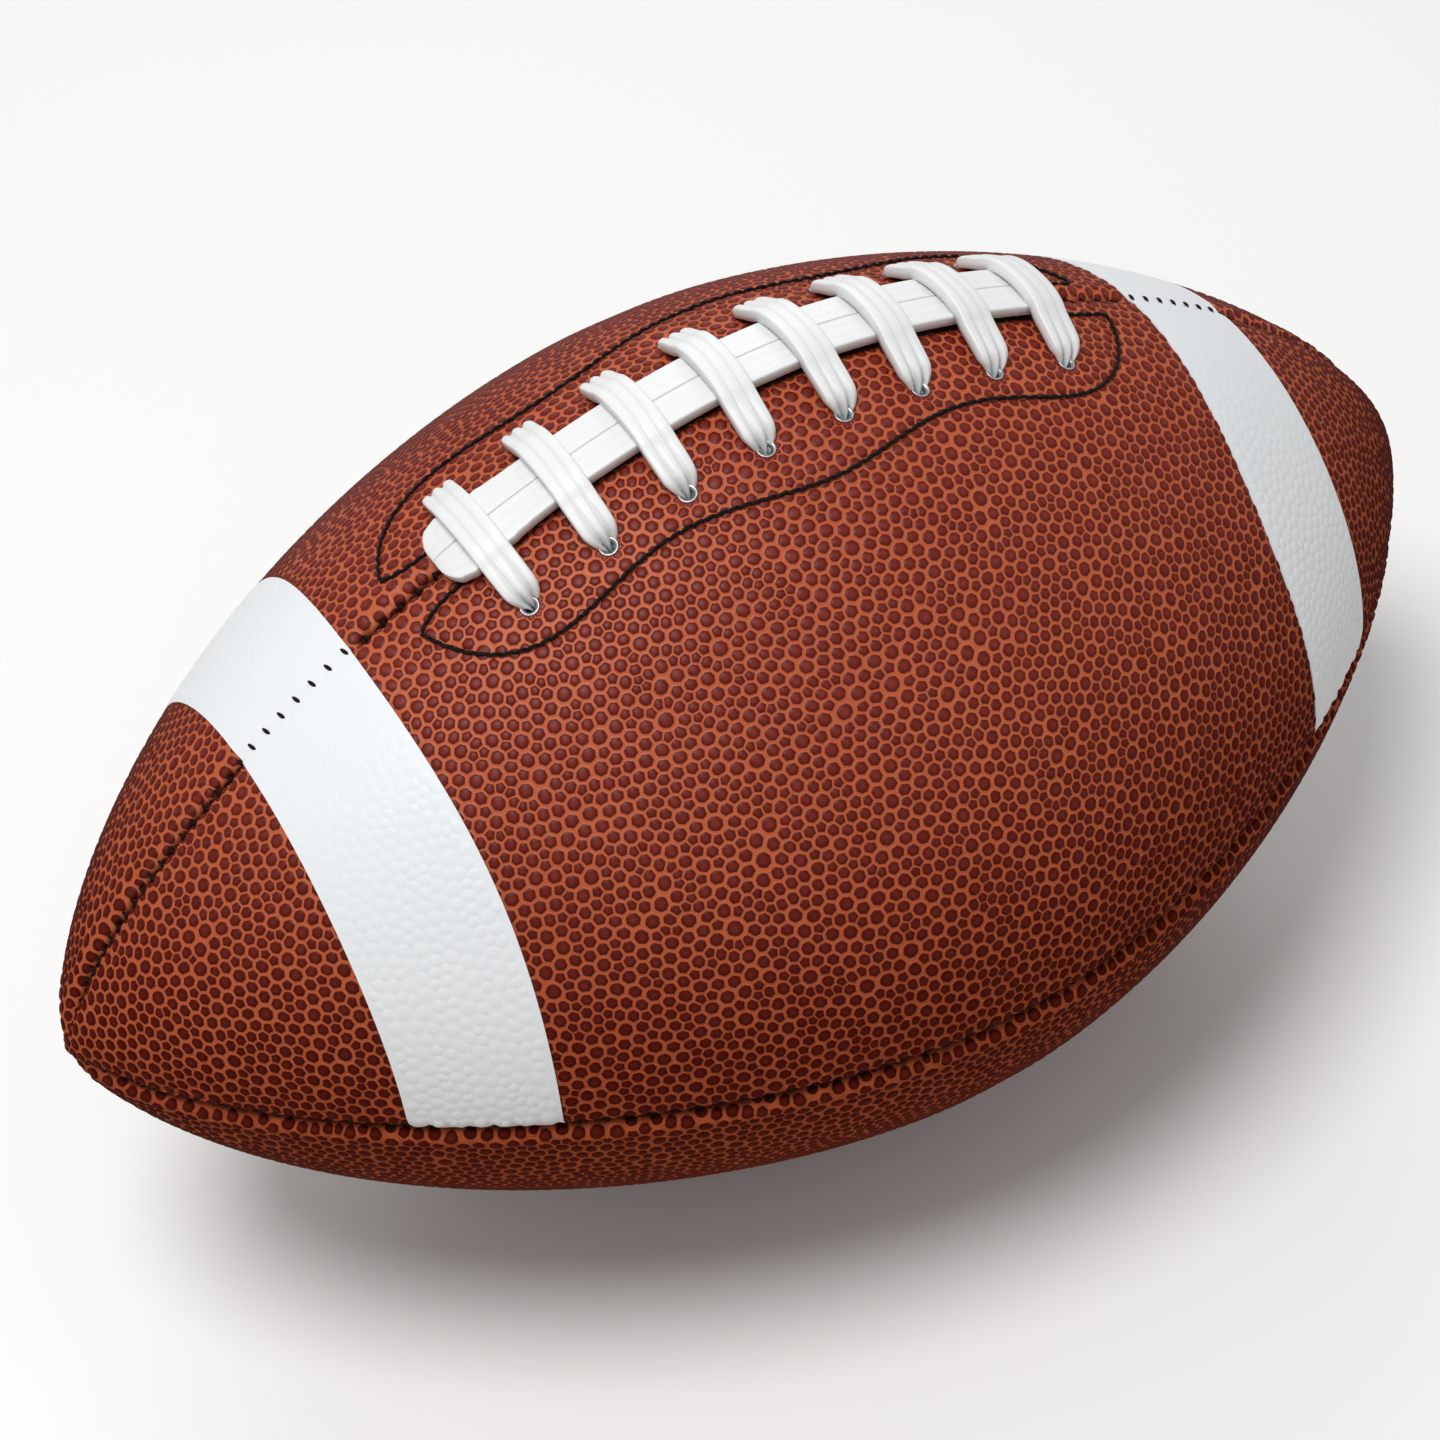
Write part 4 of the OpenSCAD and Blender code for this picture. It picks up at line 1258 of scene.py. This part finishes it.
def bar_size(x):
    """Width and thickness of one strip at each x, from the flared left end to the right one."""
    flare = np.exp(-(((x + FLARE_X) / (FLARE_LEN / 2)) ** 2))
    flare = flare * (FLARE + LUMP * np.sin(2 * math.pi * x / LUMP_LEN))
    end = np.clip(np.minimum(x + BAR_END, BAR_RIGHT - x) / END_LEN, 0, 1)
    taper = np.sqrt(1 - (1 - end) ** 2)
    width = (BAR_WIDTH - BAR_MIDDLE + flare) * (END_WIDE_SHARE + (1 - END_WIDE_SHARE) * taper)
    return width, BAR_THICK * (END_THICK_SHARE + (1 - END_THICK_SHARE) * taper)


print("the bar is", round(2 * bar_size(np.zeros(1))[0][0] + BAR_MIDDLE, 1), "mm wide in the middle")

# %% The bar
BAR_STEP = 1.0
BAR_ROUND_STEPS = 8
BAR_VALLEY_DEPTH = 0.03
BAR_CREASE_SHADE = 0.3

inner_x = np.linspace(END_LEN - BAR_END, BAR_RIGHT - END_LEN, round(2 * BAR_END / BAR_STEP))
round_end = END_LEN * (1 - np.sin(np.linspace(0, QUARTER, BAR_ROUND_STEPS)[1:]))
bar_x = np.concatenate([(round_end - BAR_END)[::-1], inner_x, BAR_RIGHT - round_end])
s = bar_x / HALF_LEN
strips = []
for hand in (1, -1):
    width, thick = bar_size(bar_x)
    middle = hand * (BAR_MIDDLE / 2 + width / 2)
    height = np.full(len(bar_x), BAR_HEIGHT + BAR_THICK / 2)
    rows = np.stack([middle, height, width, thick, 0 * width], -1)
    centre = at(s, side_phi(s, middle), -height)
    wide_way = unit(at(s, side_phi(s, middle - 1), -height) - at(s, side_phi(s, middle + 1), -height))
    spine = at(s, TOP_SEAM, -height)
    ahead = unit(np.gradient(spine, axis=0))
    strips.append(lay(centre, ahead, rows, wide_way, BAR_VALLEY_DEPTH, hand))
lace_piece("lace_bar_strips", strips, "lace_bar", BAR_CREASE_SHADE)
print("each strip of the bar is", round(length_of(spine), 1), "mm long")

# %% [markdown]
# ## Stitches and eyelets
# These repeat by the dozen, so one tree sets a copy of a small shape on each point. The point
# carries the way ahead and the way out of the leather, which turn its copy. An array modifier
# could copy them too, but it can't follow a curved seam on a curved ball.

# %% The tree that sets copies on points
g, given = new_tree("copies on points", [("Shape", "Object", None), ("Material", "Material", None)])
shape = g.node("GeometryNodeObjectInfo", {"transform_space": "ORIGINAL"}, {"Object": given["Shape"]},
               out="Geometry")
turned = g.node("FunctionNodeAxesToRotation", {"primary_axis": "X", "secondary_axis": "Z"},
                {0: g.named("ahead", "FLOAT_VECTOR"), 1: g.named("out", "FLOAT_VECTOR")})
copies = g.node("GeometryNodeInstanceOnPoints", None,
                {"Points": given["Geometry"], "Instance": shape, "Rotation": turned})
copies_tree = close_tree(g, copies, given["Material"])


# %% Set copies on the leather
OUTWARD_STEP = 0.002


def outward(s, phi):
    """The way out of the leather, from small steps along it and round it."""
    along = at(s + OUTWARD_STEP, phi) - at(s - OUTWARD_STEP, phi)
    round_way = at(s, phi + OUTWARD_STEP) - at(s, phi - OUTWARD_STEP)
    return unit(np.cross(along, round_way))


def set_copies(name, shape, points, ahead, out_way, material, node):
    piece = new_piece(name, points, [], {"ahead": ahead, "out": out_way})
    run_tree(piece, copies_tree, shape=shape, material=material)
    put_in_place(piece, node)
    print(name, "copies:", len(points))


print("out of the leather on top:", outward(np.zeros(1), TOP_SEAM)[0].round(3) + 0.0)

# %% A stitch
STITCH_SIDES = 6
STITCH_RINGS = 7
STITCH_TAPER = 0.93
THREAD_D = 0.68
OUTLINE_PITCH = 2.1
OUTLINE_OVERLAP = 1.2
OUTLINE_ARCH = 0.3
SEAM_STITCH_LEN = 2.2
SEAM_STITCH_D = 0.66
SEAM_STITCH_ARCH = 0.1


def stitch_shape(name, length, thick, arch):
    """An arched, tapered bead along X whose ends dip into the leather."""
    share = np.linspace(-1, 1, STITCH_RINGS)
    swell = np.sqrt(1 - (STITCH_TAPER * share) ** 2)
    turn = np.arange(STITCH_SIDES) * 2 * math.pi / STITCH_SIDES
    rings = np.zeros((STITCH_RINGS, STITCH_SIDES, 3))
    rings[:, :, 0] = share[:, None] * length / 2
    rings[:, :, 1] = swell[:, None] * np.cos(turn) * thick / 2
    rings[:, :, 2] = swell[:, None] * np.sin(turn) * thick / 2 + arch * (1 - share[:, None] ** 2)
    return new_piece(name, *sweep(rings))


outline_stitch = stitch_shape("outline_stitch", OUTLINE_PITCH * OUTLINE_OVERLAP, THREAD_D, OUTLINE_ARCH)
seam_stitch = stitch_shape("seam_stitch", SEAM_STITCH_LEN, SEAM_STITCH_D, SEAM_STITCH_ARCH)
print("faces of a stitch:", len(seam_stitch.data.polygons))


# %% Thread
def thread(name, scale, dark, light, rough):
    """Waxed thread, whose plies show as slanted bands."""
    made, g = new_material(name)
    twist = g.wave("DIAGONAL", scale)
    g.finish({
        "Base Color": g.mix(twist * 0.5, dark, light),
        "Specular IOR Level": 0.1,
        "Roughness": rough + g.noise(3000.0) * 0.2,
        "Normal": g.bump(twist, 0.0001, 0.6),
    })
    return made


black_thread = thread("black thread", 900.0, rgb(10, 9, 10), rgb(30, 28, 29), 0.55)
seam_thread = thread("seam thread", 1100.0, rgb(12, 5, 4), rgb(40, 17, 12), 0.6)

# %% [markdown]
# The black line is a row of stitches that overlap end to end, each turned a little, as a lock
# stitch lies. In the seams only a short slanted thread shows at each pucker.

# %% Stitches round the lace holes
THREAD_SINK = 0.1
STITCH_TURN = math.radians(9)

for side, face in ((1, "front"), (-1, "back")):
    s, phi = outline(side, OUTLINE_PITCH)
    line = at(s, phi, THREAD_SINK)
    after = np.roll(line, -1, axis=0)
    ahead, out_way = unit(after - line), outward(s, phi)
    ahead = ahead * math.cos(STITCH_TURN) + np.cross(out_way, ahead) * math.sin(STITCH_TURN)
    set_copies("outline_thread_" + face, outline_stitch, (line + after) / 2, ahead, out_way,
               black_thread, "thread_facing_" + face)

# %% Stitches in the seams
SEAM_STITCH_LIFT = 0.2
SEAM_STITCH_SIDE = 0.65
SEAM_STITCH_TURN = math.radians(14)
ACROSS_STEP = 0.02

for place, seam, places in (("top", TOP_SEAM, top_stitches), ("front", 0.0, long_seam),
                            ("bottom", 3 * QUARTER, long_seam), ("back", 2 * QUARTER, long_seam)):
    phi = np.full(len(places), seam)
    line = press(at(places, phi, -SEAM_STITCH_LIFT))[0]
    across = unit(at(places, phi + ACROSS_STEP) - at(places, phi - ACROSS_STEP))
    to_tip = unit(at(places + OUTWARD_STEP, phi) - at(places - OUTWARD_STEP, phi)) * np.sign(places)[:, None]
    slant = across * math.cos(SEAM_STITCH_TURN) + to_tip * math.sin(SEAM_STITCH_TURN)
    set_copies("seam_stitches_" + place, seam_stitch, line + across * SEAM_STITCH_SIDE, slant,
               outward(places, phi), seam_thread, "thread_seam_" + place)

# %% [markdown]
# An eyelet is a metal tube with a lip that rolls over like a bell, so that the lace isn't cut. The
# lace fills most of it and only its outer side shows. It is turned round its axis from a profile
# of radius and height, which takes a few lines where a bevelled cylinder would take modifiers.

# %% Profile of an eyelet
EYELET_R = 0.95
EYELET_FLANGE = 1.65
EYELET_WALL = 0.25
EYELET_LIP = 0.12
EYELET_DEEP = 3.0
EYELET_SIDES = 32
BELL_POINTS = 7
HOLE_STEP = 0.003

bell_r = EYELET_FLANGE - EYELET_R
bell = [(EYELET_FLANGE - bell_r * math.sin(a), EYELET_LIP - bell_r * (1 - math.cos(a)))
        for a in np.linspace(QUARTER, 0, BELL_POINTS)]
outer_r = EYELET_R + EYELET_WALL
eyelet_profile = [(EYELET_R, -EYELET_DEEP), *bell, (EYELET_FLANGE, EYELET_LIP - EYELET_WALL),
                  (outer_r, -EYELET_FLANGE / 2), (outer_r, -EYELET_DEEP)]
print("points in the profile of an eyelet:", len(eyelet_profile))


# %% The eyelets
def revolved(name, profile_rz, sides):
    """A closed shape from a closed profile of radius and height turned round Z."""
    turn = np.arange(sides)[:, None] * 2 * math.pi / sides
    radius, height = np.array(profile_rz).T
    ring = np.stack([radius * np.cos(turn), radius * np.sin(turn), height + 0 * turn], -1)
    count = len(radius)
    corners = [(0, 0), (1, 0), (1, 1), (0, 1)]
    faces = [[(i + di) % sides * count + (j + dj) % count for di, dj in corners]
             for i in range(sides) for j in range(count)]
    return new_piece(name, ring.reshape(-1, 3), faces)


metal, g = new_material("eyelet metal")
g.finish({
    "Base Color": g.mix(g.noise(1500.0, 3.0), rgb(112, 116, 120), rgb(204, 208, 212)),
    "Metallic": 1.0,
    "Roughness": 0.3 + g.noise(700.0, 3.0) * 0.2,
})
eyelet_shape = revolved("eyelet_shape", eyelet_profile[::-1], EYELET_SIDES)
s, side = np.array(lace_holes).T
phi = side_phi(s, side * HOLE_SIDE)
ahead = unit(at(s + HOLE_STEP, phi) - at(s - HOLE_STEP, phi))
set_copies("eyelet_rings", eyelet_shape, press(at(s, phi))[0], ahead, outward(s, phi), metal,
           "eyelets")
for shape in (outline_stitch, seam_stitch, eyelet_shape):
    bpy.data.objects.remove(shape)

# %% [markdown]
# ## Pieces that stay as the rigid model has them
# The bladder, its valve, the linings, the facings and the tongue are hidden inside or seen only
# through the slit and the valve hole. Their meshes stay as they are and get materials of their own:
# a woven cloth, a napped leather and two rubbers, which differ from each other in scale and colour.


# %% Materials of the inside pieces
def speckled(name, scale, detail, dark, light, rough, spread, *relief):
    """A plain material with fine specks, which are lighter, rougher and higher."""
    made, g = new_material(name)
    speck = g.noise(scale, detail)
    g.finish({"Base Color": g.mix(speck, dark, light), "Roughness": rough + speck * spread,
              "Normal": g.bump(speck, *relief)})
    return made


suede = speckled("facing leather", 700.0, 4.0, rgb(96, 50, 34), rgb(132, 74, 50), 0.8, 0.15, 0.0002, 0.6)
bladder_rubber = speckled("bladder rubber", 300.0, 4.0, rgb(24, 24, 25), rgb(40, 39, 40),
                          0.5, 0.2, 0.0001, 0.4)
valve_rubber = speckled("valve rubber", 1500.0, 3.0, rgb(30, 29, 29), rgb(52, 50, 50),
                        0.45, 0.2, 0.0001, 0.4)

lining, g = new_material("lining cloth")
weave = g.wave("X", 300.0) * 0.5 + g.wave("Z", 300.0) * 0.5
g.finish({"Base Color": g.mix(weave, rgb(176, 166, 148), rgb(214, 206, 190)),
          "Roughness": 0.85 + g.noise(200.0) * 0.1, "Normal": g.bump(weave, 0.0002, 0.7)})

# %% Dress the inside pieces
inside = {"facing_front": suede, "facing_back": suede, "tongue": suede, "bladder": bladder_rubber,
          "valve_housing": valve_rubber, "valve_plug": valve_rubber}
for place in ("front_top", "back_top", "front_bottom", "back_bottom"):
    inside["lining_" + place] = lining
for node, material in inside.items():
    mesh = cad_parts[node].data
    mesh.materials.clear()
    mesh.materials.append(material)
print("nodes kept from the rigid model:", len(inside))

# %% [markdown]
# ## Light and floor
# The photo has soft light from the upper left and a pale background without a shadow. One large
# lamp above gives the ball its shape, a weak one behind it lifts the rear edge, and the world fills
# the rest. The world is bright only for rays that end in the picture, so that the background is pale
# without more light on the ball, and the floor does the same with its colour. It keeps the ball's
# shadow, because an object without one seems to float.


# %% World
WORLD_FILL = 0.5
WORLD_SEEN = 1.0
BACKGROUND = (*rgb(238, 238, 237), 1)


def seen_ray(g):
    """1 for a ray that ends in the picture: straight, mirrored or through glass."""
    path = g.node("ShaderNodeLightPath")
    kinds = ("Camera", "Glossy", "Transmission")
    straight, mirrored, through = [path.twin(f"Is {kind} Ray") for kind in kinds]
    return g.math("MAXIMUM", straight, g.math("MAXIMUM", mirrored, through))


world = bpy.data.worlds.new("studio")
bpy.context.scene.world = world
world.use_nodes = True
world.node_tree.nodes.clear()
g = Graph(world.node_tree)
dim, bright = [g.node("ShaderNodeBackground", None, {"Color": BACKGROUND, "Strength": strength})
               for strength in (WORLD_FILL, WORLD_SEEN)]
chosen = g.node("ShaderNodeMixShader", None, {0: seen_ray(g), 1: dim, 2: bright})
g.node("ShaderNodeOutputWorld", None, {"Surface": chosen})
print("the world fills with", WORLD_FILL, "and shows", WORLD_SEEN)

# %% Floor
FLOOR_SIZE = 4.0
FLOOR_SEEN = rgb(243, 243, 242)
FLOOR_BOUNCE = rgb(192, 180, 168)

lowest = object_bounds()[0][2]
corners = [(x * FLOOR_SIZE / 2, y * FLOOR_SIZE / 2, lowest) for x, y in ((-1, -1), (1, -1), (1, 1), (-1, 1))]
floor_mesh = bpy.data.meshes.new("floor")
floor_mesh.from_pydata(corners, [], [(0, 1, 2, 3)])
floor = bpy.data.objects.new("floor", floor_mesh)
bpy.context.scene.collection.objects.link(floor)
floor_paint, g = new_material("floor paint")
g.finish({"Base Color": g.mix(seen_ray(g), FLOOR_BOUNCE, FLOOR_SEEN), "Roughness": 0.8})
floor_mesh.materials.append(floor_paint)
print("the floor lies at z =", round(lowest / MM, 2), "mm")


# %% Lamps
def lamp(name, place, size, watts):
    """A round lamp at a place in metres that shines at the middle of the ball."""
    light = bpy.data.lights.new(name, "AREA")
    light.shape = "DISK"
    light.size = size
    light.energy = watts
    made = bpy.data.objects.new(name, light)
    made.location = place
    made.rotation_euler = (-Vector(place)).to_track_quat("-Z", "Y").to_euler()
    bpy.context.scene.collection.objects.link(made)
    return made


lamps = [lamp("key", (-0.34, -0.14, 1.10), 0.5, 9.9), lamp("back", (0.5, 0.9, 0.7), 0.6, 2.5)]
bpy.context.scene.view_settings.view_transform = "Standard"
print("lamps:", {lamp.name: round(lamp.data.energy, 1) for lamp in lamps})
